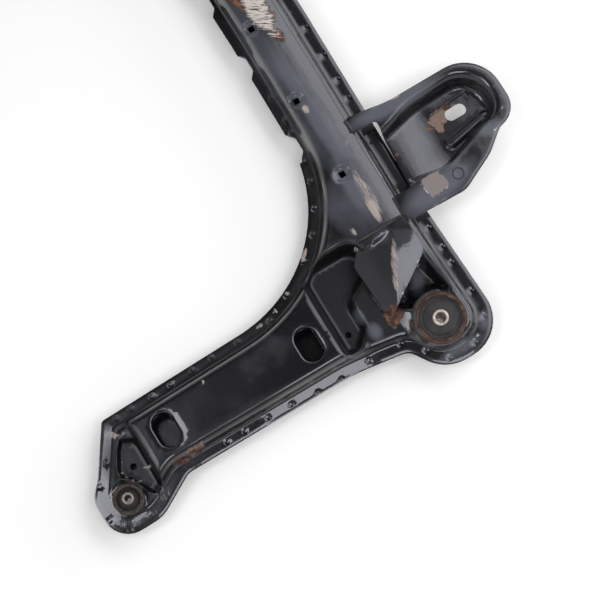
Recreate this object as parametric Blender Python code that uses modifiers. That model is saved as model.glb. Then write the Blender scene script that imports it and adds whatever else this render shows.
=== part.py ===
"""A pressed-steel subframe: a crossmember, an arm at each end and a dished tray on each side.

Two pressed sheets, joined at a flange that runs all round, make the box section. Four
rubber bushes in welded tubes carry it. It lies flat, with X along the crossmember,
the arms towards -Y, the trays towards +Y and the four bush cores on the floor at Z 0.
The right half (X above 0) is drawn, and the left half is its mirror image.
Plan sizes are first measured from the line between the two corner bushes.
"""

import math

import bmesh
import bpy
import numpy as np
from mathutils import Matrix, Vector
from mathutils.geometry import delaunay_2d_cdt, intersect_line_line_2d

# Sheet metal and the clearance between touching pieces
SHEET = 0.0025
GAP = 0.0003

# Bush centres
CORNER_X = 0.445
END_X = 0.437
ARM_REACH = 0.452

# Heights: the joint is the top of the lower flange, and the others are above or below it
JOINT_HEIGHT = 0.030
LOWER_DEPTH = 0.0215
BEAM_CREST = 0.026
BEAM_SHOULDER = 0.020
ARM_HEIGHT = 0.019
BOSS_HEIGHT = 0.013
SADDLE_HEIGHT = 0.006
POCKET_DEPTH = 0.006
END_SEAT_HEIGHT = 0.006
END_POCKET_DEPTH = 0.004

# Crossmember section, across it
BACK_EDGE = 0.0637
WAIST = 0.0050
FRONT_EDGE = 0.0390
CREST_Y = 0.007
SHOULDER_Y = 0.036
FLANGE_BACK = 0.017
FLANGE_FRONT = 0.010
FLANGE_ARM = 0.012
FLANGE_END = 0.016
LOWER_MARGIN = 0.0015
LOWER_FOOT_OUT = 0.0020
WALL_RUN = 0.0120

# Arms, across and along them
ARM_WIDTH = 0.1178
ARM_MARGIN = 0.0083
ARCH_RADIUS = 0.188
ARM_TOP_START = 0.131
ARM_TOP_END = 0.0515
END_STEP_RUN = 0.009

# Lobes round the corner bushes and at the arms' ends
LOBE_SIDE = 0.0585
LOBE_BACK = 0.0660
LOBE_FRONT = 0.0248
LOBE_RADIUS = 0.054
NECK = 0.0545
END_SIDE = 0.0402
END_LENGTH = 0.0372
END_TIP_RADIUS = 0.035

# Pressed details of the upper sheet
BEAM_END = 0.134
RIM_BACK = 0.127
POCKET_RUN = 0.014
END_POCKET_RUN = 0.007
COLLAR_FLAT = 0.002
COLLAR_RUN = 0.0065
COLLAR_SLOPE = 1.5
END_CUP_RUN = 0.004
END_RIB_HALF_WIDTH = 0.006
END_RIB_HEIGHT = 0.003
SLOT_LENGTH = 0.0435
SLOT_WIDTH = 0.0275
SLOT_LIP = 0.0035
SLOT_OFFSET = 0.0026
SLOT_FROM_CORNER = 0.160
SLOT_FROM_END = 0.0845
DIMPLE_PITCH = 0.1122
DIMPLE_Y = -0.0105
DIMPLE_RADIUS = 0.012
DIMPLE_FLAT = 0.7
DIMPLE_DEPTH = 0.003
DIMPLES = 3
SQUARE_HOLE = 0.008
DRAIN_RADIUS = 0.0045
PILOT_RADIUS = 0.004
NOTCH_DEPTH = 0.009
NOTCH_OUT = 0.0035
NOTCH_HALF_LENGTH = 0.022
NOTCH_FLAT = 0.35
NOTCHES = (0.032, 0.157, -0.066, -0.157)

# Stiffening swages of the lower sheet
SWAGE_TOP_HALF_WIDTH = 0.006
SWAGE_HALF_WIDTH = 0.013
SWAGE_HEIGHT = 0.004

# Bushes: radii and how far each piece stands above the flange
CORNER_TUBE_RADIUS = 0.0330
CORNER_CORE_RADIUS = 0.0107
CORNER_BOLT_RADIUS = 0.0065
CORNER_CORE_TOP = 0.0150
END_TUBE_RADIUS = 0.0200
END_CORE_RADIUS = 0.0074
END_BOLT_RADIUS = 0.0043
END_TUBE_TOP = 0.0030
END_CORE_TOP = 0.0150
TUBE_WALL = 0.0025
SLEEVE_WALL = 0.0020
TUBE_OVERHANG = 0.0020
SLEEVE_OVERHANG = 0.0030
SLEEVE_STEP = 0.0005
RUBBER_SINK = 0.0010
CORNER_CROWN = 0.0005
END_CROWN = 0.0090
CHAMFER = 0.0006

# Dished tray
TRAY_X = 0.222
TRAY_REACH = 0.2255
TRAY_ROOT = 0.060
TRAY_ROOT_SKEW = 0.003
TRAY_LEG_START = 0.030
TRAY_HEIGHT = 0.0215
TRAY_EDGE_DROP = 0.003
TRAY_LEFT = -0.058
TRAY_RIGHT = 0.0983
TRAY_FLOOR_RISE = 0.006
TRAY_RISE_START = 0.125
TRAY_SLOT_LENGTH = 0.029
TRAY_SLOT_WIDTH = 0.016
TRAY_SLOT_X = 0.0035
TRAY_SLOT_Y = 0.160

# Folded gusset plate
GUSSET_SHEET = 0.003
GUSSET_END_RISE = 0.005
GUSSET_FRONT_FALL = 0.12
GUSSET_BACK_FALL = 0.10
GUSSET_BEND = 0.025

# Fineness of the facets
CHORD_ERROR = 0.0008
LONGEST_STEP = 0.060
GRID_STEP = 0.060
SNAP = 0.0015
CORNER_STEPS = 24
END_STEPS = 18

FLANGE_TOP = JOINT_HEIGHT + GAP + SHEET
ARM_OUTER = END_X + ARM_MARGIN
ARM_MIDDLE = ARM_OUTER - ARM_WIDTH / 2
END_Y = -ARM_REACH
TUBE_CLEARANCE = 0.0004


def smooth(share):
    """Zero up to 0, one from 1, and an even bend between."""
    share = np.clip(share, 0.0, 1.0)
    return share * share * (3.0 - 2.0 * share)


def blend(low, high, share):
    return low + (high - low) * share


def arc_points(corner, start, end, radius):
    """Points of the arc that rounds a corner, from its start to its end."""
    if radius < 1e-6 or (corner - start).length < 1e-7:
        return [corner]
    turn = (corner - start).angle_signed(end - corner)
    finest = 2.0 * math.acos(max(0.0, 1.0 - CHORD_ERROR / radius))
    steps = max(2, math.ceil(abs(turn) / max(finest, 0.02)))
    centre = corner + ((start - corner).normalized() + (end - corner).normalized()).normalized() * (
        radius / math.cos(turn / 2.0)
    )
    arm = start - centre
    return [centre + Matrix.Rotation(-turn * i / steps, 2) @ arm for i in range(steps + 1)]


def rounded(corners):
    """A closed outline of (x, y, radius) corners, each turned to an arc that its edges have room for."""
    places = [Vector(corner[:2]) for corner in corners]
    count = len(places)
    trims = []
    for i, place in enumerate(places):
        before = (place - places[i - 1]).normalized()
        after = (places[(i + 1) % count] - place).normalized()
        trims.append(corners[i][2] * math.tan(abs(before.angle_signed(after, 0.0)) / 2.0))
    share = [1.0] * count
    for i in range(count):
        j = (i + 1) % count
        room = (places[j] - places[i]).length * 0.98
        if trims[i] + trims[j] > room:
            fit = room / (trims[i] + trims[j])
            share[i] = min(share[i], fit)
            share[j] = min(share[j], fit)
    points = []
    for i, place in enumerate(places):
        trim = trims[i] * share[i]
        start = place + (places[i - 1] - place).normalized() * trim
        end = place + (places[(i + 1) % count] - place).normalized() * trim
        points += arc_points(place, start, end, corners[i][2] * share[i])
    return np.array([tuple(point) for point in points])


def inset(corners, widths):
    """Corners moved inwards: edge i, from corner i to the next, moves by widths[i]."""
    count = len(corners)
    places = [Vector(corner[:2]) for corner in corners]
    runs = [(places[(i + 1) % count] - places[i]).normalized() for i in range(count)]
    moved = []
    for i, place in enumerate(places):
        into, out = runs[i - 1], runs[i]
        first = place + Vector((-into.y, into.x)) * widths[i - 1]
        second = place + Vector((-out.y, out.x)) * widths[i]
        met = intersect_line_line_2d(first - into * 9, first + into * 9, second - out * 9, second + out * 9)
        met = met or (first + second) / 2.0
        mean = (widths[i - 1] + widths[i]) / 2.0
        turn = into.cross(out)
        radius = corners[i][2]
        if radius > 0.0:
            radius = max(radius - math.copysign(mean, turn), 0.0015)
        moved.append((met.x, met.y, radius))
    return moved


def circle(x, y, radius, steps):
    angles = np.arange(steps) * 2.0 * math.pi / steps
    return np.column_stack([x + radius * np.cos(angles), y + radius * np.sin(angles)])


def box_outline(x, y, length, width, radius):
    """A rectangle about a point, with rounded corners."""
    half, side = length / 2.0, width / 2.0
    return rounded([(x - half, y - side, radius), (x + half, y - side, radius),
                    (x + half, y + side, radius), (x - half, y + side, radius)])


def resampled(points, closed=True):
    """The same line with its long stretches divided."""
    ends = np.roll(points, -1, axis=0) if closed else points[1:]
    made = []
    for start, end in zip(points, ends):
        steps = max(1, math.ceil(np.linalg.norm(end - start) / LONGEST_STEP))
        made += [start + (end - start) * i / steps for i in range(steps)]
    if not closed:
        made.append(points[-1])
    return np.array(made)


def from_line(points, line, closed):
    """Each point's distance from a line of straight pieces."""
    ends = np.roll(line, -1, axis=0) if closed else line[1:]
    starts = line if closed else line[:-1]
    runs = ends - starts
    lengths = np.maximum((runs ** 2).sum(axis=1), 1e-18)
    gaps = points[:, None, :] - starts[None, :, :]
    share = np.clip((gaps * runs[None]).sum(axis=2) / lengths, 0.0, 1.0)
    gaps -= share[:, :, None] * runs[None]
    return np.sqrt((gaps ** 2).sum(axis=2).min(axis=1))


def inside(points, outline):
    """True for each point inside a closed outline."""
    x, y = points[:, 0][:, None], points[:, 1][:, None]
    starts, ends = outline, np.roll(outline, -1, axis=0)
    crosses = (starts[:, 1] > y) != (ends[:, 1] > y)
    rise = np.where(ends[:, 1] == starts[:, 1], 1.0, ends[:, 1] - starts[:, 1])
    at = starts[:, 0] + (y - starts[:, 1]) * (ends[:, 0] - starts[:, 0]) / rise
    return (crosses & (x < at)).sum(axis=1) % 2 == 1


def depth_in(points, outline):
    """How far each point lies inside a closed outline, negative outside it."""
    return from_line(points, outline, True) * np.where(inside(points, outline), 1.0, -1.0)


def strip_guides(line, half_width):
    """The middle line of a raised strip, and the line round its foot."""
    runs = np.gradient(line, axis=0)
    runs /= np.linalg.norm(runs, axis=1)[:, None]
    sides = np.column_stack([-runs[:, 1], runs[:, 0]]) * half_width
    first, last = line[0] - runs[0] * half_width, line[-1] + runs[-1] * half_width
    return line, np.vstack([first, line + sides, last, (line - sides)[::-1]])


class Plan:
    """Everything that is drawn in plan for one sheet: its edge, its holes and its bend lines."""

    def __init__(self, outline, holes=()):
        self.outline = outline
        self.holes = list(holes)
        self.points = []
        self.edges = []
        self.add_line(outline)
        for hole in self.holes:
            self.add_line(hole)

    def index_of(self, place):
        """The point at a place, which is an earlier one if that is as good as there."""
        if self.points:
            gaps = np.linalg.norm(np.array(self.points) - place, axis=1)
            nearest = int(gaps.argmin())
            if gaps[nearest] < SNAP:
                return nearest
        self.points.append(place)
        return len(self.points) - 1

    def add_line(self, line, closed=True):
        line = resampled(np.asarray(line, float), closed)
        indexes = [self.index_of(place) for place in line]
        if closed:
            indexes.append(indexes[0])
        self.edges += [(a, b) for a, b in zip(indexes, indexes[1:]) if a != b]

    def add_grid(self):
        """Loose points wherever the lines leave room for them."""
        low, high = self.outline.min(axis=0), self.outline.max(axis=0)
        across = np.arange(low[0] + GRID_STEP / 2, high[0], GRID_STEP)
        along = np.arange(low[1] + GRID_STEP / 2, high[1], GRID_STEP)
        grid = np.array([(x, y) for x in across for y in along])
        taken = np.array(self.points)
        room = np.array([np.linalg.norm(taken - place, axis=1).min() for place in grid])
        self.points += list(grid[(room > GRID_STEP * 0.55) & inside(grid, self.outline)])

    def mesh(self, name, height, wall):
        """A sheet between its lines, each point at the height that the function gives.

        The wall's thickness is measured square to the sheet, upwards if it is above 0. A sheet
        that reaches the mid-plane is left open there.
        """
        made = delaunay_2d_cdt([Vector(place) for place in self.points], self.edges, [], 0, 1e-7)
        places = np.array([tuple(place) for place in made[0]])
        faces = np.array(made[2])
        middles = places[faces].mean(axis=1)
        kept = inside(middles, self.outline)
        for hole in self.holes:
            kept &= ~inside(middles, hole)
        shape = bmesh.new()
        heights = height(places)
        vertices = [shape.verts.new((x, y, z)) for (x, y), z in zip(places, heights)]
        for face in faces[kept]:
            shape.faces.new([vertices[i] for i in face])
        bmesh.ops.delete(shape, geom=[v for v in shape.verts if not v.link_faces], context="VERTS")
        shape.normal_update()
        bmesh.ops.reverse_faces(shape, faces=[face for face in shape.faces if face.normal.z < 0.0])
        shape.normal_update()
        walled(shape, wall)
        mesh = bpy.data.meshes.new(name)
        shape.to_mesh(mesh)
        shape.free()
        return mesh


def walled(shape, wall):
    """Gives a drawn sheet its second face, an upright distance away that grows with the slope."""
    drawn = shape.faces[:]
    level = FLANGE_TOP if wall < 0.0 else 0.0
    heights = {}
    for vertex in shape.verts:
        flat = abs(vertex.co.z - level) < 1e-7
        heights[tuple(vertex.co)] = wall if flat else wall / max(vertex.normal.z, 0.42)
    grown = bmesh.ops.extrude_face_region(shape, geom=drawn)["geom"]
    for vertex in [item for item in grown if isinstance(item, bmesh.types.BMVert)]:
        vertex.co.z += heights[tuple(vertex.co)]
    middle = [face for face in shape.faces if all(abs(v.co.x) < 1e-6 for v in face.verts)]
    bmesh.ops.delete(shape, geom=middle, context="FACES_ONLY")
    bmesh.ops.recalc_face_normals(shape, faces=shape.faces)
    shape.normal_update()
    highest = max(shape.faces, key=lambda face: face.calc_center_median().z)
    if highest.normal.z < 0.0:
        bmesh.ops.reverse_faces(shape, faces=shape.faces)


def shell_corners():
    """The right half of the flange's outer edge, anticlockwise from the front of the mid-plane."""
    arch_x = ARM_OUTER - ARM_WIDTH
    side = CORNER_X + LOBE_SIDE
    return [
        (0.0, -FRONT_EDGE, 0.0),
        (arch_x, -FRONT_EDGE - 0.0045, ARCH_RADIUS),
        (arch_x + 0.0085, END_Y + 0.021, 0.008),
        (END_X - 0.042, END_Y - 0.0185, 0.020),
        (END_X - 0.0215, END_Y - END_LENGTH, 0.030),
        (END_X + END_SIDE, END_Y - END_LENGTH, END_TIP_RADIUS),
        (END_X + END_SIDE - 0.001, END_Y + 0.026, 0.050),
        (ARM_OUTER + 0.0005, END_Y + 0.080, 0.020),
        (ARM_OUTER + 0.001, -0.130, 0.250),
        (ARM_OUTER + 0.013, -NECK, 0.018),
        (side, -LOBE_FRONT, LOBE_RADIUS),
        (side, LOBE_BACK, LOBE_RADIUS),
        (CORNER_X - 0.145, BACK_EDGE - WAIST, 0.400),
        (0.0, BACK_EDGE, 0.0),
    ]


def flange_widths(extra=0.0):
    """How far the wall's foot lies in from each edge of the outline. The mid-plane stays where it is."""
    arm, end, back = FLANGE_ARM + extra, FLANGE_END + extra, FLANGE_BACK + extra
    return [FLANGE_FRONT + extra, arm, arm, end, end, end, end, arm, arm, arm, back, back, back, 0.0]


WALL_PROFILE = ((0.0, 0.0), (0.75, 0.88), (1.2, 1.0))
POCKET_PROFILE = ((0.0, 0.0), (0.3, 0.15), (1.0, 1.0))


def shaped(distance, run, profile):
    """The share of a bend's full height at a distance from its foot."""
    steps, shares = zip(*profile)
    return np.interp(distance / run, steps, shares)


def pocket_outlines():
    """The rims of the deep pockets beside the corner bush, and of the one beside the end bush."""
    cx, top = CORNER_X, -ARM_TOP_START
    recess = [
        (cx - 0.147, -0.036, 0.030),
        (cx - 0.146, top, 0.028),
        (cx - 0.0135, top, 0.012),
        (cx - 0.0135, -0.104, 0.014),
        (cx - 0.036, -0.081, 0.014),
        (cx - 0.075, -0.081, 0.016),
        (cx - 0.100, -0.036, 0.020),
    ]
    cavity = [
        (cx - RIM_BACK, -0.052, 0.010),
        (cx - 0.040, -0.052, 0.014),
        (cx - 0.012, 0.000, 0.020),
        (cx - 0.022, 0.036, 0.014),
        (cx - 0.085, 0.025, 0.030),
        (cx - RIM_BACK, 0.026, 0.010),
    ]
    end = [
        (-0.0730, 0.0280, 0.006),
        (-0.0613, 0.0170, 0.010),
        (-0.0390, 0.0045, 0.008),
        (-0.0250, 0.0045, 0.008),
        (-0.0180, 0.0135, 0.020),
        (-0.0040, 0.0205, 0.040),
        (0.0090, 0.0265, 0.020),
        (0.0200, 0.0360, 0.006),
        (0.0190, 0.0475, 0.006),
        (-0.0520, 0.0485, 0.010),
        (-0.0630, 0.0455, 0.006),
    ]
    return recess, cavity, [(END_X + x, END_Y + y, radius) for x, y, radius in end]


def shrunk(corners, distance):
    return rounded(inset(corners, [distance] * len(corners)))


def end_rib():
    """The line of the raised rib between the end pocket and the end bush."""
    steps = ((-0.0242, 0.0026), (-0.0177, 0.0133), (-0.0059, 0.0207), (0.0080, 0.0269),
             (0.0164, 0.0335), (0.0187, 0.0422))
    return np.array([(END_X + x, END_Y + y) for x, y in steps])


def slots():
    """The two oblong holes of the arm, drawn to a margin outside their edges."""
    def at(margin):
        length, width = SLOT_LENGTH + 2 * margin, SLOT_WIDTH + 2 * margin
        return [box_outline(ARM_MIDDLE + SLOT_OFFSET, y, length, width, width / 2 - 0.0005)
                for y in (-SLOT_FROM_CORNER, END_Y + SLOT_FROM_END)]
    return at


def wall_share(points, out):
    """The share of the wall's full height at each point, with its foot moved out by a distance."""
    foot = rounded(inset(shell_corners(), flange_widths(-out)))
    foot = np.vstack([foot, foot[-1] - (0.1, 0.0), foot[0] - (0.1, 0.0)])
    return shaped(depth_in(points, foot), WALL_RUN, WALL_PROFILE)


def upper_height(points):
    """Height of the upper sheet's top face, at points of either half."""
    points = np.column_stack([np.abs(points[:, 0]), points[:, 1]])
    x, y = points[:, 0], points[:, 1]
    beam = np.interp(y, [CREST_Y, SHOULDER_Y], [BEAM_CREST, BEAM_SHOULDER])
    level = blend(beam, BOSS_HEIGHT, smooth((x - (CORNER_X - BEAM_END)) / (BEAM_END - 0.045)))
    near = np.clip((y + 0.125) / 0.095, 0.0, 1.0)
    left = blend(ARM_HEIGHT, level, near)
    rise = np.clip((-0.095 - y) / (ARM_TOP_START - 0.095), 0.0, 1.0)
    fall = np.clip((-0.030 - y) / 0.015, 0.0, 1.0)
    right = blend(blend(level, SADDLE_HEIGHT, fall), ARM_HEIGHT, rise)
    level = blend(left, right, smooth((x - (CORNER_X - 0.125)) / 0.035))
    step = shaped(END_Y + ARM_TOP_END - y, END_STEP_RUN, POCKET_PROFILE)
    level = blend(level, END_SEAT_HEIGHT, step)

    recess, cavity, end = [rounded(corners) for corners in pocket_outlines()]
    low = np.maximum(shaped(depth_in(points, recess), POCKET_RUN, POCKET_PROFILE),
                     shaped(depth_in(points, cavity), POCKET_RUN, POCKET_PROFILE))
    level = blend(level, -POCKET_DEPTH, low)
    level = blend(level, -END_POCKET_DEPTH, shaped(depth_in(points, end), END_POCKET_RUN, POCKET_PROFILE))

    away = np.hypot(x - CORNER_X, y)
    collar = BOSS_HEIGHT - np.maximum(away - CORNER_TUBE_RADIUS - COLLAR_FLAT, 0.0) * COLLAR_SLOPE
    level = np.maximum(level, collar)
    away = np.hypot(x - END_X, y - END_Y)
    cup = shaped(away - END_TUBE_RADIUS - COLLAR_FLAT, END_CUP_RUN, POCKET_PROFILE)
    level = blend(np.minimum(level, END_TUBE_TOP - 0.001), level, cup)

    rib = from_line(points, end_rib(), False)
    level = level + END_RIB_HEIGHT * (1.0 - smooth(rib / END_RIB_HALF_WIDTH))
    for slot in slots()(0.0):
        lip = np.clip(-depth_in(points, slot) / SLOT_LIP, 0.0, 1.0)
        level = level - SLOT_LIP * (1.0 - lip) ** 2
    for i in range(DIMPLES):
        away = np.hypot(x - i * DIMPLE_PITCH, y - DIMPLE_Y) / DIMPLE_RADIUS
        level = level - DIMPLE_DEPTH * (1.0 - smooth((away - DIMPLE_FLAT) / (1.0 - DIMPLE_FLAT)))

    return FLANGE_TOP + level * wall_share(points, 0.0)


def lower_swages():
    """The middle lines of the stiffening swages in the lower sheet's floor."""
    arm = ARM_MIDDLE
    return [np.array([(0.0, -0.002), (CORNER_X - 0.165, -0.002)]),
            np.array([(arm, -0.150), (arm, END_Y + 0.080)])]


def lower_height(points):
    """Height of the lower sheet's top face, at points of either half."""
    points = np.column_stack([np.abs(points[:, 0]), points[:, 1]])
    level = np.full(len(points), -LOWER_DEPTH)
    for line in lower_swages():
        away = from_line(points, line, False)
        slope = (away - SWAGE_TOP_HALF_WIDTH) / (SWAGE_HALF_WIDTH - SWAGE_TOP_HALF_WIDTH)
        level = level + SWAGE_HEIGHT * (1.0 - smooth(slope))
    return JOINT_HEIGHT + level * wall_share(points, LOWER_FOOT_OUT)


def wall_lines(plan, out=0.0):
    """The bends of the wall, from its foot to the flat top."""
    for share, _ in WALL_PROFILE:
        corners = inset(shell_corners(), flange_widths(share * WALL_RUN - out))
        plan.add_line(rounded(corners), closed=False)


def upper_plan():
    tube_hole = circle(CORNER_X, 0.0, CORNER_TUBE_RADIUS + TUBE_CLEARANCE, CORNER_STEPS)
    end_hole = circle(END_X, END_Y, END_TUBE_RADIUS + TUBE_CLEARANCE, END_STEPS)
    drain = circle(END_X - 0.0324, END_Y + 0.0258, DRAIN_RADIUS, 10)
    pilot = circle(CORNER_X - 0.0438, -0.109, PILOT_RADIUS, 10)
    squares = [box_outline(i * DIMPLE_PITCH, DIMPLE_Y, SQUARE_HOLE, SQUARE_HOLE, 0.0)
               for i in range(DIMPLES)]
    slot_at = slots()
    plan = Plan(rounded(shell_corners()), [tube_hole, end_hole, drain, pilot] + squares + slot_at(0.0))
    wall_lines(plan)
    for margin in (SLOT_LIP * 0.45, SLOT_LIP):
        for slot in slot_at(margin):
            plan.add_line(slot)
    recess, cavity, end = pocket_outlines()
    for share, _ in POCKET_PROFILE:
        plan.add_line(shrunk(recess, share * POCKET_RUN))
        plan.add_line(shrunk(cavity, share * POCKET_RUN))
        plan.add_line(shrunk(end, share * END_POCKET_RUN))
        y = END_Y + ARM_TOP_END - share * END_STEP_RUN
        plan.add_line([(ARM_OUTER - ARM_WIDTH + FLANGE_ARM, y), (END_X + END_SIDE - 0.02, y)], closed=False)
    for run in (0.0, COLLAR_RUN):
        plan.add_line(circle(CORNER_X, 0.0, CORNER_TUBE_RADIUS + COLLAR_FLAT + run, CORNER_STEPS))
    for run in (0.0, END_CUP_RUN):
        plan.add_line(circle(END_X, END_Y, END_TUBE_RADIUS + COLLAR_FLAT + run, END_STEPS))
    middle, foot = strip_guides(end_rib(), END_RIB_HALF_WIDTH)
    plan.add_line(middle, closed=False)
    plan.add_line(foot)
    crest = [(0.0, CREST_Y), (CORNER_X - BEAM_END, CREST_Y)]
    plan.add_line(crest, closed=False)
    for i in range(DIMPLES):
        for share in (DIMPLE_FLAT, 1.0):
            plan.add_line(circle(i * DIMPLE_PITCH, DIMPLE_Y, DIMPLE_RADIUS * share, 12))
    plan.add_grid()
    return plan


def lower_plan():
    corners = inset(shell_corners(), [-LOWER_MARGIN] * 13 + [0.0])
    tube_hole = circle(CORNER_X, 0.0, CORNER_TUBE_RADIUS + TUBE_CLEARANCE, CORNER_STEPS)
    end_hole = circle(END_X, END_Y, END_TUBE_RADIUS + TUBE_CLEARANCE, END_STEPS)
    drain = circle(ARM_MIDDLE, END_Y + 0.052, DRAIN_RADIUS, 12)
    plan = Plan(rounded(corners), [tube_hole, end_hole, drain])
    wall_lines(plan, LOWER_FOOT_OUT)
    for line in lower_swages():
        plan.add_line(line, closed=False)
        for half in (SWAGE_TOP_HALF_WIDTH, SWAGE_HALF_WIDTH):
            length = np.abs(line[1] - line[0]).max()
            middle = (line[0] + line[1]) / 2.0
            wide = abs(line[1] - line[0])[0] > abs(line[1] - line[0])[1]
            size = (length + 2 * half, 2 * half) if wide else (2 * half, length + 2 * half)
            ring = box_outline(middle[0], middle[1], size[0], size[1], half * 0.95)
            plan.add_line(ring[ring[:, 0] >= 0.0] if wide else ring, closed=not wide)
    return plan


def tray_corners():
    left, right = TRAY_X + TRAY_LEFT, TRAY_X + TRAY_RIGHT
    return [
        (left, TRAY_LEG_START, 0.004),
        (left + 0.0225, TRAY_LEG_START, 0.004),
        (left + 0.0225, TRAY_ROOT + TRAY_ROOT_SKEW, 0.004),
        (right - 0.0365, TRAY_ROOT - TRAY_ROOT_SKEW, 0.004),
        (right - 0.0365, TRAY_LEG_START, 0.004),
        (right, TRAY_LEG_START, 0.006),
        (right + 0.0025, 0.114, 0.030),
        (right - 0.0220, TRAY_REACH - 0.060, 0.060),
        (right - 0.0450, TRAY_REACH - 0.031, 0.015),
        (right - 0.0510, TRAY_REACH, 0.032),
        (left + 0.0080, TRAY_REACH, 0.052),
        (left + 0.0080, 0.090, 0.100),
    ]


def dish_outline(share):
    """A level line of the tray's dish, from its rim at 0 to the edge of its floor at 1.

    The dish is open at its root, so that its outline runs on past the tray's own edge.
    """
    start = TRAY_LEG_START - 0.02
    rim = np.array([
        (-0.0275, start, 0.0), (0.0610, start, 0.0), (0.0625, 0.075, 0.050), (0.0665, 0.109, 0.040),
        (0.0430, 0.183, 0.050), (0.0360, TRAY_REACH - 0.012, 0.030), (-0.0435, TRAY_REACH - 0.012, 0.045),
        (-0.0410, 0.110, 0.080), (-0.0275, 0.068, 0.050)])
    floor = np.array([
        (-0.0060, start, 0.0), (0.0500, start, 0.0), (0.0515, 0.075, 0.050), (0.0580, 0.108, 0.040),
        (0.0330, 0.178, 0.040), (0.0260, TRAY_REACH - 0.0275, 0.025), (-0.0250, TRAY_REACH - 0.0275, 0.035),
        (-0.0200, 0.110, 0.080), (-0.0080, 0.066, 0.050)])
    return rounded(blend(rim, floor, share) + (TRAY_X, 0.0, 0.0))


def tray_ribs():
    """Each rib of the tray's floor: its middle line, half width and height."""
    ribs = (((-0.0098, 0.130), (-0.0149, 0.183), 0.0030, 0.0030),
            ((0.0368, 0.1325), (0.0265, 0.190), 0.0085, 0.0045))
    return [(np.array([start, end]) + (TRAY_X, 0.0), half, height) for start, end, half, height in ribs]


def tray_height(points):
    """Height of the underside of the tray, which rests on the crossmember's flange and shoulder."""
    below_rim = np.maximum(depth_in(points, dish_outline(0.0)), 0.0)
    off_floor = np.maximum(-depth_in(points, dish_outline(1.0)), 0.0)
    dish = shaped(below_rim / np.maximum(below_rim + off_floor, 1e-9), 1.0, POCKET_PROFILE)
    rise = np.interp(points[:, 1], [TRAY_ROOT, TRAY_RISE_START], [TRAY_FLOOR_RISE, 0.0])
    level = blend(TRAY_HEIGHT, rise, dish)
    for line, half, height in tray_ribs():
        level = level + height * (1.0 - smooth(from_line(points, line, False) / half))
    edge = np.clip(depth_in(points, rounded(tray_corners())) / 0.005, 0.0, 1.0)
    level = np.maximum(level - TRAY_EDGE_DROP * (1.0 - edge) ** 2 * (points[:, 1] > BACK_EDGE + 0.006), 0.0)
    shell = upper_height(points)
    shell += GAP * (1.0 + np.clip((shell - FLANGE_TOP) / 0.001, 0.0, 1.0))
    return np.maximum(FLANGE_TOP + GAP + level, shell)


def tray_plan():
    slot = box_outline(TRAY_X + TRAY_SLOT_X, TRAY_SLOT_Y, TRAY_SLOT_WIDTH, TRAY_SLOT_LENGTH,
                       TRAY_SLOT_WIDTH / 2 - 0.0005)
    plan = Plan(rounded(tray_corners()), [slot])
    plan.add_line(shrunk(tray_corners(), 0.0025))
    plan.add_line(shrunk(tray_corners(), 0.005))
    for share, _ in POCKET_PROFILE:
        plan.add_line(dish_outline(share))
    rise = [(TRAY_X + x, TRAY_RISE_START) for x in (TRAY_LEFT / 2, TRAY_RIGHT / 2)]
    plan.add_line(rise, closed=False)
    for line, half, _ in tray_ribs():
        middle, foot = strip_guides(line, half)
        plan.add_line(middle, closed=False)
        plan.add_line(foot)
    wall_lines(plan)
    return plan


def gusset_corners():
    cx = CORNER_X
    return [
        (cx - 0.1342, 0.027, 0.003),
        (cx - 0.1306, -0.043, 0.004),
        (cx - 0.1114, -0.060, 0.006),
        (cx - 0.0430, -0.056, 0.003),
        (cx - 0.0365, -0.045, 0.003),
        (cx - 0.0805, 0.022, 0.004),
        (cx - 0.0870, 0.027, 0.003),
    ]


def gusset_fold():
    return np.array([(CORNER_X - RIM_BACK, CREST_Y), (CORNER_X - 0.0440, -0.0380)])


def gusset_height(points):
    """Height of the plate's underside: flat on the crossmember's end, then two facets off the fold."""
    start, end = gusset_fold()
    length = np.linalg.norm(end - start)
    run = (end - start) / length
    along = np.clip(((points - start) @ run) / length, 0.0, 1.1)
    across = (points - start) @ np.array([-run[1], run[0]])
    ridge = blend(BEAM_CREST, SADDLE_HEIGHT + GUSSET_END_RISE, along)
    facets = ridge - np.where(across > 0.0, across * GUSSET_BACK_FALL, -across * GUSSET_FRONT_FALL)
    beam = np.interp(points[:, 1], [CREST_Y, SHOULDER_Y], [BEAM_CREST, BEAM_SHOULDER])
    bent = np.clip((points[:, 0] - start[0]) / GUSSET_BEND, 0.0, 1.0)
    return np.maximum(FLANGE_TOP + GAP + blend(beam, facets, bent), upper_height(points) + GAP)


def gusset_plan():
    corners = gusset_corners()
    plan = Plan(rounded(corners[::-1] if turns_right(corners) else corners))
    plan.add_line(gusset_fold(), closed=False)
    plan.add_line([(CORNER_X - BEAM_END, CREST_Y), gusset_fold()[0]], closed=False)
    for bend in (0.0, GUSSET_BEND):
        x = gusset_fold()[0][0] + bend
        plan.add_line([(x, 0.035), (x, -0.065)], closed=False)
    for outline in pocket_outlines()[:2]:
        for share, _ in POCKET_PROFILE[:3]:
            plan.add_line(shrunk(outline, share * POCKET_RUN))
    return plan


def turns_right(corners):
    """True where corners run clockwise."""
    places = np.array([corner[:2] for corner in corners])
    after = np.roll(places, -1, axis=0)
    return (places[:, 0] * after[:, 1] - after[:, 0] * places[:, 1]).sum() < 0.0


def material(name, colour, roughness, metallic):
    made = bpy.data.materials.new(name)
    made.use_nodes = True
    shader = made.node_tree.nodes["Principled BSDF"]
    shader.inputs["Base Color"].default_value = (*colour, 1.0)
    shader.inputs["Roughness"].default_value = roughness
    shader.inputs["Metallic"].default_value = metallic
    return made


def collection(name):
    made = bpy.data.collections.new(name)
    bpy.context.scene.collection.children.link(made)
    return made


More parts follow.
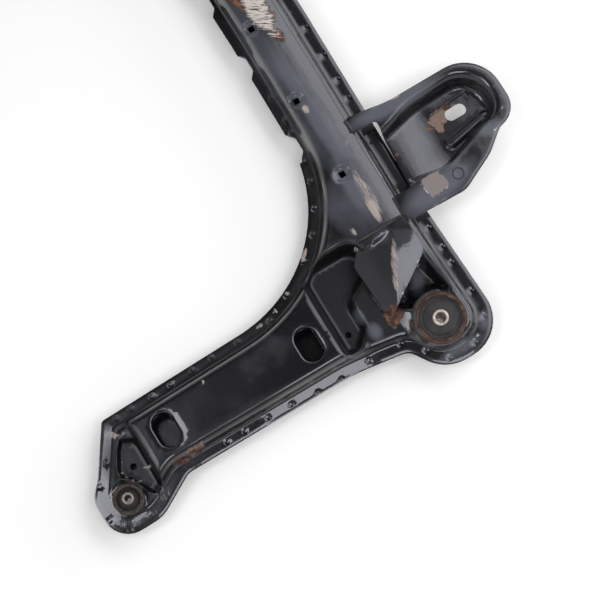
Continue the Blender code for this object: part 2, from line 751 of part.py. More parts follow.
def place(mesh, name, finish, group, origin, location=(0.0, 0.0, 0.0)):
    part = bpy.data.objects.new(name, mesh)
    part.data.materials.append(finish)
    part.location = location
    part.parent = origin
    group.objects.link(part)
    return part


def mirrored(mesh, name):
    """A mirror image of a mesh about the mid-plane, its faces turned to point out again."""
    copy = mesh.copy()
    copy.name = name
    copy.transform(Matrix.Diagonal((-1.0, 1.0, 1.0, 1.0)))
    copy.flip_normals()
    return copy


def cutter(name, mesh, group, origin):
    made = bpy.data.objects.new(name, mesh)
    made.parent = origin
    made.hide_render = True
    made.display_type = "WIRE"
    group.objects.link(made)
    return made


def prism(outline, low, high, shape):
    """Adds an upright prism on an outline to a shape."""
    face = shape.faces.new([shape.verts.new((x, y, low)) for x, y in outline])
    top = bmesh.ops.extrude_face_region(shape, geom=[face])["geom"]
    raised = [item for item in top if isinstance(item, bmesh.types.BMVert)]
    bmesh.ops.translate(shape, vec=(0.0, 0.0, high - low), verts=raised)


def notch_mesh():
    """The bites that leave the front flange scalloped."""
    shape = bmesh.new()
    for middle in NOTCHES:
        reach = np.linspace(-1.0, 1.0, 13)
        depths = NOTCH_DEPTH * smooth((1.0 - np.abs(reach)) / (1.0 - NOTCH_FLAT)) - NOTCH_OUT
        bite = [(middle + r * NOTCH_HALF_LENGTH, -FRONT_EDGE + depth) for r, depth in zip(reach, depths)]
        outer = [(bite[-1][0], -FRONT_EDGE - 0.03), (bite[0][0], -FRONT_EDGE - 0.03)]
        prism((bite + outer)[::-1], JOINT_HEIGHT - 0.012, JOINT_HEIGHT + 0.012, shape)
    bmesh.ops.recalc_face_normals(shape, faces=shape.faces)
    mesh = bpy.data.meshes.new("flange_notches")
    shape.to_mesh(mesh)
    shape.free()
    return mesh


def cut(part, tool):
    hole = part.modifiers.new(tool.name, "BOOLEAN")
    hole.operation = "DIFFERENCE"
    hole.solver = "EXACT"
    hole.object = tool


def turned_mesh(name, profile):
    """A closed profile of (radius, height) points, ready to be turned about Z."""
    mesh = bpy.data.meshes.new(name)
    count = len(profile)
    mesh.from_pydata([(r, 0.0, z) for r, z in profile], [(i, (i + 1) % count) for i in range(count)], [])
    return mesh


def turn(part, steps):
    screw = part.modifiers.new("turn", "SCREW")
    screw.axis = "Z"
    screw.steps = steps
    screw.render_steps = steps
    screw.use_merge_vertices = True
    screw.merge_threshold = 0.0001
    screw.use_smooth_shade = True


def tube_profile(inner, outer, low, high, chamfer):
    """A plain tube, its outer edges chamfered, listed down its outer side."""
    return [(outer - chamfer, high), (outer, high - chamfer), (outer, low + chamfer), (outer - chamfer, low),
            (inner, low), (inner, high)]


def rubber_profile(inner, outer, low, high, crown):
    """A rubber ring whose faces are dished between its sleeve and its core."""
    middle = (inner + outer) / 2.0
    return [(outer, high), (outer, low), (middle, low + 0.002), (inner, low), (inner, high + crown),
            (middle, high + crown * 0.5 - 0.0012)]


def make_bush(side, where, sizes, finishes, group, origin):
    """Housing tube, sleeve, rubber and core of one bush, one inside the next."""
    name, tube, core, bolt, tube_top, core_top, crown, steps = sizes
    bore = tube - TUBE_WALL
    sleeve = bore - GAP
    rubber = sleeve - SLEEVE_WALL
    foot = JOINT_HEIGHT - LOWER_DEPTH - SHEET
    top = FLANGE_TOP + tube_top
    pieces = {
        "housing": tube_profile(bore, tube, foot - TUBE_OVERHANG, top, CHAMFER),
        "sleeve": tube_profile(rubber, sleeve, foot - SLEEVE_OVERHANG, top + SLEEVE_STEP, CHAMFER),
        "rubber": rubber_profile(core + GAP, rubber - GAP, foot, top - RUBBER_SINK, crown),
        "core": tube_profile(bolt, core, 0.0, FLANGE_TOP + core_top, CHAMFER),
    }
    for piece, profile in pieces.items():
        label = f"{name}_{piece}_{side}"
        part = place(turned_mesh(label, profile), label, finishes[piece], group, origin, where)
        turn(part, steps)


def main():
    for old in list(bpy.data.objects):
        bpy.data.objects.remove(old, do_unlink=True)
    parts = collection("subframe")
    tools = collection("cutters")
    reach = (rounded(tray_corners())[:, 1].max(), lower_plan().outline[:, 1].min())
    origin = bpy.data.objects.new("frame_origin", None)
    origin.location = (0.0, -sum(reach) / 2.0, 0.0)
    parts.objects.link(origin)

    paint = (0.022, 0.022, 0.024)
    notches = cutter("flange_notches", notch_mesh(), tools, origin)
    for name, plan, height in (("upper_shell", upper_plan(), upper_height),
                               ("lower_shell", lower_plan(), lower_height)):
        mesh = plan.mesh(name, height, -SHEET)
        part = place(mesh, name, material(name, paint, 0.32, 0.0), parts, origin)
        mirror = part.modifiers.new("mirror", "MIRROR")
        mirror.use_clip = True
        mirror.merge_threshold = 0.0001
        cut(part, notches)

    for name, plan, height, wall in (("mount_tray", tray_plan(), tray_height, SHEET),
                                     ("gusset_plate", gusset_plan(), gusset_height, GUSSET_SHEET)):
        mesh = plan.mesh(name + "_right", height, wall)
        for side, half in (("right", mesh), ("left", mirrored(mesh, name + "_left"))):
            label = f"{name}_{side}"
            place(half, label, material(label, paint, 0.36, 0.0), parts, origin)

    corner = ("corner_bush", CORNER_TUBE_RADIUS, CORNER_CORE_RADIUS, CORNER_BOLT_RADIUS,
              BOSS_HEIGHT + SLEEVE_STEP, CORNER_CORE_TOP, CORNER_CROWN, CORNER_STEPS)
    end = ("end_bush", END_TUBE_RADIUS, END_CORE_RADIUS, END_BOLT_RADIUS,
           END_TUBE_TOP, END_CORE_TOP, END_CROWN, END_STEPS)
    for side, sign in (("right", 1.0), ("left", -1.0)):
        for sizes, where in ((corner, (sign * CORNER_X, 0.0, 0.0)), (end, (sign * END_X, END_Y, 0.0))):
            label = f"{sizes[0]}_{side}"
            finishes = {
                "housing": material(label + "_housing", (0.10, 0.055, 0.040), 0.6, 0.2),
                "sleeve": material(label + "_sleeve", (0.12, 0.070, 0.050), 0.5, 0.4),
                "rubber": material(label + "_rubber", (0.028, 0.028, 0.030), 0.7, 0.0),
                "core": material(label + "_core", (0.62, 0.52, 0.42), 0.4, 0.9),
            }
            make_bush(side, where, sizes, finishes, parts, origin)


main()
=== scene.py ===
"""Looks of a pressed-steel subframe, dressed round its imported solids.

Every length is in metres. The pressings are drawn in plan, with Y measured from the line
between the two corner bushes and X from the mid-plane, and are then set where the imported
solids lie. The right half is drawn and the left half is its mirror image, but the wear
differs from side to side.
"""

from __future__ import annotations

import logging
import math
from dataclasses import dataclass, field
from enum import Enum
from typing import Any, Callable, Sequence

import bmesh
import bpy
import numpy as np
from mathutils import Matrix, Vector
from mathutils.geometry import delaunay_2d_cdt, intersect_line_line_2d
from mathutils.kdtree import KDTree

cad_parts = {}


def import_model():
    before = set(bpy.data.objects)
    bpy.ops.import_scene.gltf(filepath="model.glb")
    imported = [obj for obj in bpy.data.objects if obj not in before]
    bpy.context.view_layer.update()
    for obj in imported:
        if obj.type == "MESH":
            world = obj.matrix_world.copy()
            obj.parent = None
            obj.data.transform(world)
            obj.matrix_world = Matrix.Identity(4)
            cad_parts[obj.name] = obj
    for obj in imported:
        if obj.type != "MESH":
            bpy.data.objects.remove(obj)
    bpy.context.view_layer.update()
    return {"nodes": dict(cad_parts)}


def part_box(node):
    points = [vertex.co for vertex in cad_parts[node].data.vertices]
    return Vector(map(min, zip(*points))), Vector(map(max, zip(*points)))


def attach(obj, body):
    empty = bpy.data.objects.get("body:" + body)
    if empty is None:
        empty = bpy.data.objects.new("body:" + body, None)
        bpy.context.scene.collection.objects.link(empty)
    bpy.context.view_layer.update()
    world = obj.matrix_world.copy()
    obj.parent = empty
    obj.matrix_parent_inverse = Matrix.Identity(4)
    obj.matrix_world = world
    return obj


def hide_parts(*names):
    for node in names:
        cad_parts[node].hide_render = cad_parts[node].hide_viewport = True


log = logging.getLogger("subframe")

Corner = tuple[float, float, float]
Profile = Sequence[tuple[float, float]]
Heights = Callable[[np.ndarray], np.ndarray]
Seam = list[tuple[float, float, float]]

BODY = "root"
MM = 0.001
SCRATCH_TURN = math.radians(58.0)
SMOOTH_ANGLE = math.radians(42.0)
# The least turn between two points of an arc, and the share of an edge that its arcs may take up
LEAST_TURN = 0.02
EDGE_ROOM = 0.98
# The least radius of a corner that is moved
LEAST_RADIUS = 0.0015
# How far a half sheet's edge is run on past the mid-plane, so that nothing bends there
PAST_MIDDLE = 0.1
# How many points are measured from a line at once, to spare memory
BATCH = 1500
# How many sides a circle has: those round the corner bush, round the end bush, and small ones
CORNER_SIDES = 72
END_SIDES = 56
HOLE_SIDES = 32
# How far a turned piece's edges are broken, and the least angle of an edge that is
EDGE_BREAK = 0.00035
BREAK_ANGLE = math.radians(25.0)


def smooth(share: np.ndarray) -> np.ndarray:
    """Zero up to 0, one from 1, and an even bend between."""
    share = np.clip(share, 0.0, 1.0)
    return share * share * (3.0 - 2.0 * share)


def blend(low: Any, high: Any, share: Any) -> Any:
    """The value a share of the way from low to high."""
    return low + (high - low) * share


def shaped(distance: np.ndarray, run: float, profile: Profile) -> np.ndarray:
    """The share of a bend's full height at each distance from its foot.

    Args:
        distance: distances from the bend's foot.
        run: the bend's width in plan.
        profile: pairs of a share of the run and the share of the height there.

    Returns:
        Shares from 0 to 1.
    """
    steps, shares = zip(*profile)
    return np.interp(distance / run, steps, shares)


def arc_points(corner: Vector, start: Vector, end: Vector, radius: float, fine: float) -> list[Vector]:
    """Points of the arc that rounds a corner.

    Args:
        corner: the sharp corner.
        start: where the arc leaves the first edge.
        end: where it meets the second.
        radius: the arc's radius.
        fine: how far a chord may lie from the arc.

    Returns:
        The points from start to end.
    """
    if radius < 1e-6 or (corner - start).length < 1e-7:
        return [corner]
    turn = (corner - start).angle_signed(end - corner)
    finest = 2.0 * math.acos(max(0.0, 1.0 - fine / radius))
    steps = max(2, math.ceil(abs(turn) / max(finest, LEAST_TURN)))
    inward = ((start - corner).normalized() + (end - corner).normalized()).normalized()
    centre = corner + inward * (radius / math.cos(turn / 2.0))
    arm = start - centre
    return [centre + Matrix.Rotation(-turn * i / steps, 2) @ arm for i in range(steps + 1)]


def rounded(corners: Sequence[Corner], fine: float = 0.00012) -> np.ndarray:
    """A closed outline with each corner turned to an arc that its edges have room for.

    Args:
        corners: x, y and radius of each corner, in order.
        fine: how far a chord may lie from its arc.

    Returns:
        The outline's points.
    """
    places = [Vector(corner[:2]) for corner in corners]
    count = len(places)
    trims = []
    for i, place in enumerate(places):
        before = (place - places[i - 1]).normalized()
        after = (places[(i + 1) % count] - place).normalized()
        trims.append(corners[i][2] * math.tan(abs(before.angle_signed(after, 0.0)) / 2.0))
    share = [1.0] * count
    for i in range(count):
        j = (i + 1) % count
        room = (places[j] - places[i]).length * EDGE_ROOM
        if trims[i] + trims[j] > room:
            fit = room / (trims[i] + trims[j])
            share[i] = min(share[i], fit)
            share[j] = min(share[j], fit)
    points: list[Vector] = []
    for i, place in enumerate(places):
        trim = trims[i] * share[i]
        start = place + (places[i - 1] - place).normalized() * trim
        end = place + (places[(i + 1) % count] - place).normalized() * trim
        points += arc_points(place, start, end, corners[i][2] * share[i], fine)
    return np.array([tuple(point) for point in points])


def inset(corners: Sequence[Corner], widths: Sequence[float]) -> list[Corner]:
    """Corners moved inwards.

    Args:
        corners: x, y and radius of each corner, anticlockwise.
        widths: how far edge i, from corner i to the next, moves in.

    Returns:
        The moved corners, their radii grown or shrunk to match.
    """
    count = len(corners)
    places = [Vector(corner[:2]) for corner in corners]
    runs = [(places[(i + 1) % count] - places[i]).normalized() for i in range(count)]
    far = 9.0
    moved: list[Corner] = []
    for i, place in enumerate(places):
        into, out = runs[i - 1], runs[i]
        first = place + Vector((-into.y, into.x)) * widths[i - 1]
        second = place + Vector((-out.y, out.x)) * widths[i]
        met = intersect_line_line_2d(first - into * far, first + into * far,
                                     second - out * far, second + out * far) or (first + second) / 2.0
        mean = (widths[i - 1] + widths[i]) / 2.0
        radius = corners[i][2]
        if radius > 0.0:
            radius = max(radius - math.copysign(mean, into.cross(out)), LEAST_RADIUS)
        moved.append((met.x, met.y, radius))
    return moved


def shrunk(corners: Sequence[Corner], distance: float) -> np.ndarray:
    """The outline that lies a distance inside these corners."""
    return rounded(inset(corners, [distance] * len(corners)))


def past_middle(outline: np.ndarray) -> np.ndarray:
    """A half sheet's outline, run on past the mid-plane."""
    return np.vstack([outline, outline[-1] - (PAST_MIDDLE, 0.0), outline[0] - (PAST_MIDDLE, 0.0)])


def circle(x: float, y: float, radius: float, steps: int) -> np.ndarray:
    """Points evenly spaced on a circle."""
    angles = np.arange(steps) * math.tau / steps
    return np.column_stack([x + radius * np.cos(angles), y + radius * np.sin(angles)])


def box_outline(x: float, y: float, length: float, width: float, radius: float) -> np.ndarray:
    """A rectangle about a point, with rounded corners."""
    half, side = length / 2.0, width / 2.0
    return rounded([(x - half, y - side, radius), (x + half, y - side, radius),
                    (x + half, y + side, radius), (x - half, y + side, radius)])


def from_line(points: np.ndarray, line: np.ndarray, closed: bool) -> np.ndarray:
    """Each point's distance from a line of straight pieces.

    Args:
        points: places in plan.
        line: the line's points.
        closed: whether the last joins the first.

    Returns:
        One distance for each point.
    """
    ends = np.roll(line, -1, axis=0) if closed else line[1:]
    starts = line if closed else line[:-1]
    runs = ends - starts
    lengths = np.maximum((runs ** 2).sum(axis=1), 1e-18)
    found = []
    for part in np.array_split(points, max(1, len(points) // BATCH)):
        gaps = part[:, None, :] - starts[None, :, :]
        share = np.clip((gaps * runs[None]).sum(axis=2) / lengths, 0.0, 1.0)
        gaps -= share[:, :, None] * runs[None]
        found.append(np.sqrt((gaps ** 2).sum(axis=2).min(axis=1)))
    return np.concatenate(found)


def inside(points: np.ndarray, outline: np.ndarray) -> np.ndarray:
    """Tells which points lie inside a closed outline.

    Args:
        points: places in plan.
        outline: the outline's points.

    Returns:
        True for each point inside.
    """
    x, y = points[:, 0][:, None], points[:, 1][:, None]
    starts, ends = outline, np.roll(outline, -1, axis=0)
    crosses = (starts[:, 1] > y) != (ends[:, 1] > y)
    rise = np.where(ends[:, 1] == starts[:, 1], 1.0, ends[:, 1] - starts[:, 1])
    at = starts[:, 0] + (y - starts[:, 1]) * (ends[:, 0] - starts[:, 0]) / rise
    return (crosses & (x < at)).sum(axis=1) % 2 == 1


def depth_in(points: np.ndarray, outline: np.ndarray) -> np.ndarray:
    """How far each point lies inside a closed outline, negative outside it."""
    return from_line(points, outline, True) * np.where(inside(points, outline), 1.0, -1.0)


def strip_guides(line: np.ndarray, half_width: float) -> tuple[np.ndarray, np.ndarray]:
    """The lines that a raised strip's bends follow.

    Args:
        line: the strip's middle line.
        half_width: how far its foot lies from that.

    Returns:
        The middle line, and the closed line round the foot.
    """
    runs = np.gradient(line, axis=0)
    runs /= np.linalg.norm(runs, axis=1)[:, None]
    sides = np.column_stack([-runs[:, 1], runs[:, 0]]) * half_width
    first, last = line[0] - runs[0] * half_width, line[-1] + runs[-1] * half_width
    return line, np.vstack([first, line + sides, last, (line - sides)[::-1]])


def mesh_of(shape: bmesh.types.BMesh, name: str) -> bpy.types.Mesh:
    """Ends a shape's making.

    Args:
        shape: the shape, which is freed.
        name: the mesh's name.

    Returns:
        The shape as a mesh.
    """
    mesh = bpy.data.meshes.new(name)
    shape.to_mesh(mesh)
    shape.free()
    return mesh


class Plan:
    """Everything drawn in plan for one sheet: its edge, its holes and its bend lines.

    Points nearer than SNAP are one. Rows of loose points lie ROW_SHARE of their spacing apart,
    and keep CLEARANCE of it from the lines. A wall is never thickened as if it were steeper
    than the one whose normal has STEEPEST as its upward share.
    """

    SNAP = 0.0005
    ROW_SHARE = 0.87
    CLEARANCE = 0.55
    STEEPEST = 0.42

    def __init__(self, outline: np.ndarray, holes: Sequence[np.ndarray] = (), step: float = 0.006) -> None:
        """Starts a plan.

        Args:
            outline: the sheet's edge.
            holes: the edges of its holes.
            step: the longest stretch of any line between two points.
        """
        self.outline = outline
        self.holes = list(holes)
        self.step = step
        self.points: list[np.ndarray] = []
        self.edges: list[tuple[int, int]] = []
        self.cells: dict[tuple[int, int], list[int]] = {}
        self.add_line(outline)
        for hole in self.holes:
            self.add_line(hole)

    def index_of(self, place: np.ndarray) -> int:
        """Finds or adds the point at a place.

        Args:
            place: where the point is wanted.

        Returns:
            Its number, that of an earlier point if one is as good as there.
        """
        cell = (math.floor(place[0] / self.SNAP), math.floor(place[1] / self.SNAP))
        for i in (-1, 0, 1):
            for j in (-1, 0, 1):
                for index in self.cells.get((cell[0] + i, cell[1] + j), ()):
                    if np.hypot(*(self.points[index] - place)) < self.SNAP:
                        return index
        self.points.append(place)
        self.cells.setdefault(cell, []).append(len(self.points) - 1)
        return len(self.points) - 1

    def add_line(self, line: np.ndarray | Sequence, closed: bool = True) -> None:
        """Adds a bend line, its long stretches divided.

        Args:
            line: the line's points.
            closed: whether the last joins the first.
        """
        line = np.asarray(line, float)
        ends = np.roll(line, -1, axis=0) if closed else line[1:]
        made = []
        for start, end in zip(line, ends):
            steps = max(1, math.ceil(np.linalg.norm(end - start) / self.step))
            made += [start + (end - start) * i / steps for i in range(steps)]
        if not closed:
            made.append(line[-1])
        indexes = [self.index_of(place) for place in made]
        if closed:
            indexes.append(indexes[0])
        self.edges += [(a, b) for a, b in zip(indexes, indexes[1:]) if a != b]

    def add_grid(self, spacing: float) -> None:
        """Adds loose points wherever the lines leave room for them.

        Args:
            spacing: how far apart the points lie.
        """
        tree = KDTree(len(self.points))
        for i, point in enumerate(self.points):
            tree.insert((point[0], point[1], 0.0), i)
        tree.balance()
        low, high = self.outline.min(axis=0), self.outline.max(axis=0)
        rows = np.arange(low[1] + spacing / 2.0, high[1], spacing * self.ROW_SHARE)
        grid = np.array([(x + spacing / 2.0 * (i % 2), y) for i, y in enumerate(rows)
                         for x in np.arange(low[0] + spacing / 2.0, high[0], spacing)])
        grid = grid[inside(grid, self.outline)]
        self.points += [p for p in grid if tree.find((p[0], p[1], 0.0))[2] > spacing * self.CLEARANCE]

    def mesh(self, name: str, height: Heights, wall: float) -> bpy.types.Mesh:
        """A sheet between the lines, each point at the height that the function gives.

        Args:
            name: the mesh's name.
            height: gives the drawn face's height at places in plan.
            wall: the sheet's thickness, square to it, and above 0 if it grows upwards.

        Returns:
            A mesh that is open at the mid-plane if the outline reaches it.
        """
        made = delaunay_2d_cdt([Vector(place) for place in self.points], self.edges, [], 0, 1e-7)
        places = np.array([tuple(place) for place in made[0]])
        faces = np.array(made[2])
        middles = places[faces].mean(axis=1)
        kept = inside(middles, self.outline)
        for hole in self.holes:
            kept &= ~inside(middles, hole)
        heights = height(places)
        shape = bmesh.new()
        vertices = [shape.verts.new((x, y, z)) for (x, y), z in zip(places, heights)]
        for face in faces[kept]:
            shape.faces.new([vertices[i] for i in face])
        bmesh.ops.delete(shape, geom=[v for v in shape.verts if not v.link_faces], context="VERTS")
        shape.normal_update()
        bmesh.ops.reverse_faces(shape, faces=[face for face in shape.faces if face.normal.z < 0.0])
        shape.normal_update()
        drawn = shape.faces[:]
        growth = {tuple(v.co): wall / max(v.normal.z, self.STEEPEST) for v in shape.verts}
        grown = bmesh.ops.extrude_face_region(shape, geom=drawn)["geom"]
        for vertex in [item for item in grown if isinstance(item, bmesh.types.BMVert)]:
            vertex.co.z += growth[tuple(vertex.co)]
        middle = [face for face in shape.faces if all(abs(v.co.x) < 1e-6 for v in face.verts)]
        bmesh.ops.delete(shape, geom=middle, context="FACES_ONLY")
        bmesh.ops.recalc_face_normals(shape, faces=shape.faces)
        shape.normal_update()
        if max(shape.faces, key=lambda face: face.calc_center_median().z).normal.z < 0.0:
            bmesh.ops.reverse_faces(shape, faces=shape.faces)
        return mesh_of(shape, name)


# How the sheet bends: shares of a bend's run, and of its height there
WALL: Profile = ((0.0, 0.0), (0.1, 0.015), (0.25, 0.12), (0.45, 0.42), (0.65, 0.74), (0.85, 0.91),
                 (1.05, 0.98), (1.25, 1.0))
POCKET: Profile = ((0.0, 0.0), (0.12, 0.03), (0.28, 0.15), (0.5, 0.45), (0.72, 0.8), (0.88, 0.955),
                   (1.0, 1.0))


@dataclass(frozen=True)
class Layout:
    """The sizes that the pressings share, as the solids have them."""

    corner_x: float
    end_x: float
    arm_reach: float
    shift_y: float
    sheet: float = 0.0025
    gap: float = 0.0003
    joint_height: float = 0.030
    lower_depth: float = 0.0215
    back_edge: float = 0.0637
    waist: float = 0.0050
    front_edge: float = 0.0390
    arm_width: float = 0.1178
    arm_margin: float = 0.0083
    arch_radius: float = 0.188
    neck: float = 0.0545
    lobe_side: float = 0.0585
    lobe_back: float = 0.0660
    lobe_front: float = 0.0248
    lobe_radius: float = 0.054
    end_side: float = 0.0402
    end_length: float = 0.0372
    end_tip_radius: float = 0.035
    flange_back: float = 0.017
    flange_front: float = 0.010
    flange_arm: float = 0.012
    flange_end: float = 0.016
    wall_run: float = 0.0120
    rim_width: float = 0.0050
    rim_fall: float = 0.0006
    arm_flange_slope: float = 0.17
    arm_slope_front: float = -0.265
    arm_slope_back: float = -0.085
    arm_slope_run: float = 0.025
    corner_tube: float = 0.0330
    end_tube: float = 0.0200
    tube_clearance: float = 0.0004
    tube_wall: float = 0.0025

    @classmethod
    def from_frame(cls) -> Layout:
        """Reads the bushes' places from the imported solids.

        Returns:
            The layout that those places give.
        """
        corner = sum(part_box("corner_bush_core_right"), Vector()) / 2.0
        end = sum(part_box("end_bush_core_right"), Vector()) / 2.0
        return cls(corner_x=corner.x, end_x=end.x, arm_reach=corner.y - end.y, shift_y=corner.y)

    @property
    def flange_top(self) -> float:
        """Height of the upper flange's top face."""
        return self.joint_height + self.gap + self.sheet

    @property
    def arm_outer(self) -> float:
        """X of the arm's outer edge."""
        return self.end_x + self.arm_margin

    @property
    def arm_middle(self) -> float:
        """X of the arm's middle line."""
        return self.arm_outer - self.arm_width / 2.0

    @property
    def end_y(self) -> float:
        """Y of the end bushes."""
        return -self.arm_reach

    def corners(self) -> list[Corner]:
        """The right half of the flange's edge.

        Returns:
            Its corners, anticlockwise from the front of the mid-plane.
        """
        arch_x = self.arm_outer - self.arm_width
        side = self.corner_x + self.lobe_side
        return [
            (0.0, -self.front_edge, 0.0),
            (arch_x, -self.front_edge - 0.0045, self.arch_radius),
            (arch_x + 0.0085, self.end_y + 0.021, 0.008),
            (self.end_x - 0.042, self.end_y - 0.0185, 0.020),
            (self.end_x - 0.0215, self.end_y - self.end_length, 0.030),
            (self.end_x + self.end_side, self.end_y - self.end_length, self.end_tip_radius),
            (self.end_x + self.end_side - 0.001, self.end_y + 0.026, 0.050),
            (self.arm_outer + 0.0005, self.end_y + 0.080, 0.020),
            (self.arm_outer + 0.001, -0.130, 0.250),
            (self.arm_outer + 0.013, -self.neck, 0.018),
            (side, -self.lobe_front, self.lobe_radius),
            (side, self.lobe_back, self.lobe_radius),
            (self.corner_x - 0.145, self.back_edge - self.waist, 0.400),
            (0.0, self.back_edge, 0.0),
        ]

    def widths(self, extra: float = 0.0) -> list[float]:
        """How far the wall's foot lies in from each edge, with the mid-plane left where it is."""
        arm, end, back = self.flange_arm + extra, self.flange_end + extra, self.flange_back + extra
        return [self.flange_front + extra, arm, arm, end, end, end, end, arm, arm, arm, back, back, back, 0.0]

    def even_widths(self, width: float) -> list[float]:
        """The same width for every edge but the mid-plane, which stays where it is."""
        return [width] * (len(self.corners()) - 1) + [0.0]

    def rim_droop(self, points: np.ndarray) -> np.ndarray:
        """How far the flange bends down, at its sheared rim and all along the arm.

        Args:
            points: places in the right half.

        Returns:
            One fall for each point.
        """
        outline = past_middle(rounded(self.corners()))
        edge = np.clip(depth_in(points, outline) / self.rim_width, 0.0, 1.0)
        x, y = np.abs(points[:, 0]), points[:, 1]
        front = smooth((y - self.arm_slope_front) / self.arm_slope_run)
        beside_arm = front * smooth((self.arm_slope_back - y) / self.arm_slope_run)
        outwards = np.clip(x - (self.arm_outer + 0.001 - self.flange_arm), 0.0, self.flange_arm)
        return self.rim_fall * (1.0 - edge) ** 2 + self.arm_flange_slope * outwards * beside_arm

    def wall_share(self, points: np.ndarray, out: float = 0.0) -> np.ndarray:
        """The share of the wall's full height at each point.

        Args:
            points: places in the right half.
            out: how far the wall's foot is moved outwards.

        Returns:
            Shares from 0 on the flange to 1 on the flat.
        """
        foot = past_middle(rounded(inset(self.corners(), self.widths(-out))))
        return shaped(depth_in(points, foot), self.wall_run, WALL)

    def add_wall(self, plan: Plan, out: float = 0.0) -> None:
        """Adds the bend lines of the wall and the rim to a plan.

        Args:
            plan: the plan.
            out: how far the wall's foot is moved outwards.
        """
        for share, _ in WALL:
            line = rounded(inset(self.corners(), self.widths(share * self.wall_run - out)))
            plan.add_line(line, closed=False)
        for share in (0.25, 0.5, 0.75, 1.0):
            line = rounded(inset(self.corners(), self.even_widths(self.rim_width * share)))
            plan.add_line(line, closed=False)

    def tube_holes(self) -> list[np.ndarray]:
        """The round holes that the bushes' tubes stand in."""
        return [circle(self.corner_x, 0.0, self.corner_tube + self.tube_clearance, CORNER_SIDES),
                circle(self.end_x, self.end_y, self.end_tube + self.tube_clearance, END_SIDES)]


class Wear(Enum):
    """What a worn patch shows, with painted shade and painted highlights among it. The value is the name of
    the mesh attribute that carries it.
    """

    RUST = "rust"
    BARE = "bare"
    # Dust, which on a few patches is a painted highlight
    DUST_AND_HIGHLIGHT = "dust"
    CHIP = "chip"
    STAIN = "stain"
    # Rubbed paint, which on one patch is a painted highlight
    RUBBED_AND_HIGHLIGHT = "rubbed"
    # Grime takes the gloss; its near-black colour is painted shade in the recesses and along the walls
    GRIME_AND_SHADE = "grime_and_shade"


@dataclass(frozen=True)
class Patch:
    """A worn patch in plan: an ellipse, or nearly a rectangle if its squareness is high."""

    kind: Wear
    x: float
    y: float
    half_x: float
    half_y: float
    turn: float = 0.0
    strength: float = 1.0
    squareness: float = 2.0

    def share(self, points: np.ndarray) -> np.ndarray:
        """How strongly the patch shows.

        Args:
            points: places in plan.

        Returns:
            Shares from 0 to the patch's strength.
        """
        angle = math.radians(self.turn)
        gap = points - (self.x, self.y)
        across = gap @ (math.cos(angle), math.sin(angle)) / self.half_x
        along = gap @ (-math.sin(angle), math.cos(angle)) / self.half_y
        power = self.squareness
        away = (np.abs(across) ** power + np.abs(along) ** power) ** (1.0 / power)
        return self.strength * np.clip(0.5 + (1.0 - away) * power / 2.0, 0.0, 1.0)


def wear_mesh(mesh: bpy.types.Mesh, patches: Sequence[Patch], top: float) -> None:
    """Writes the patches to a mesh, as one attribute for each kind.

    Args:
        mesh: the mesh, in plan coordinates.
        patches: the worn patches.
        top: only points above this height are worn.
    """
    places = np.empty(len(mesh.vertices) * 3, np.float32)
    mesh.vertices.foreach_get("co", places)
    places = places.reshape(-1, 3).astype(float)
    above = places[:, 2] > top
    for kind in Wear:
        values = np.zeros(len(places))
        for patch in patches:
            if patch.kind is kind:
                values = np.maximum(values, patch.share(places[:, :2]) * above)
        layer = mesh.attributes.new(kind.value, "FLOAT", "POINT")
        layer.data.foreach_set("value", values.astype(np.float32))


def linear(colour: str) -> tuple[float, float, float, float]:
    """Turns an sRGB hex colour to the linear values that a shader takes.

    Args:
        colour: a hash and six hex digits.

    Returns:
        Red, green, blue and full alpha.
    """
    found = []
    for i in (1, 3, 5):
        value = int(colour[i:i + 2], 16) / 255.0
        found.append(value / 12.92 if value <= 0.04045 else ((value + 0.055) / 1.055) ** 2.4)
    return (found[0], found[1], found[2], 1.0)


def add_node(tree: bpy.types.NodeTree, kind: str, inputs: dict[Any, Any] | None = None,
             **settings: Any) -> bpy.types.Node:
    """Adds a node with its settings, its values and its links.

    Args:
        tree: the node tree.
        kind: the node's type.
        inputs: for each input's name or number, a value or the socket that feeds it.
        settings: the node's own settings.

    Returns:
        The new node.
    """
    node = tree.nodes.new(kind)
    for name, value in settings.items():
        setattr(node, name, value)
    for key, value in (inputs or {}).items():
        if isinstance(value, bpy.types.NodeSocket):
            tree.links.new(value, node.inputs[key])
        else:
            node.inputs[key].default_value = value
    return node


def start_material(name: str) -> tuple[bpy.types.Material, bpy.types.NodeTree, bpy.types.Node]:
    """Starts a material.

    Args:
        name: what it is and how its surface was made.

    Returns:
        The material, its nodes and its Principled shader.
    """
    material = bpy.data.materials.new(name)
    material.use_nodes = True
    tree = material.node_tree
    return material, tree, tree.nodes["Principled BSDF"]


def add_object(name: str, data: bpy.types.ID) -> bpy.types.Object:
    """Adds an object to the scene.

    Args:
        name: its name.
        data: its mesh, curve, light or camera.

    Returns:
        The new object.
    """
    obj = bpy.data.objects.new(name, data)
    bpy.context.scene.collection.objects.link(obj)
    return obj


def select_none() -> None:
    """Leaves edit mode and deselects everything."""
    if bpy.context.mode != "OBJECT":
        bpy.ops.object.mode_set(mode="OBJECT")
    bpy.ops.object.select_all(action="DESELECT")


def set_active(obj: bpy.types.Object) -> None:
    """Makes an object the only one selected, and the active one.

    Args:
        obj: the object.
    """
    select_none()
    obj.select_set(True)
    bpy.context.view_layer.objects.active = obj


def apply_all(obj: bpy.types.Object) -> None:
    """Applies every modifier of an object.

    Args:
        obj: the object.
    """
    set_active(obj)
    for name in [modifier.name for modifier in obj.modifiers]:
        bpy.ops.object.modifier_apply(modifier=name)


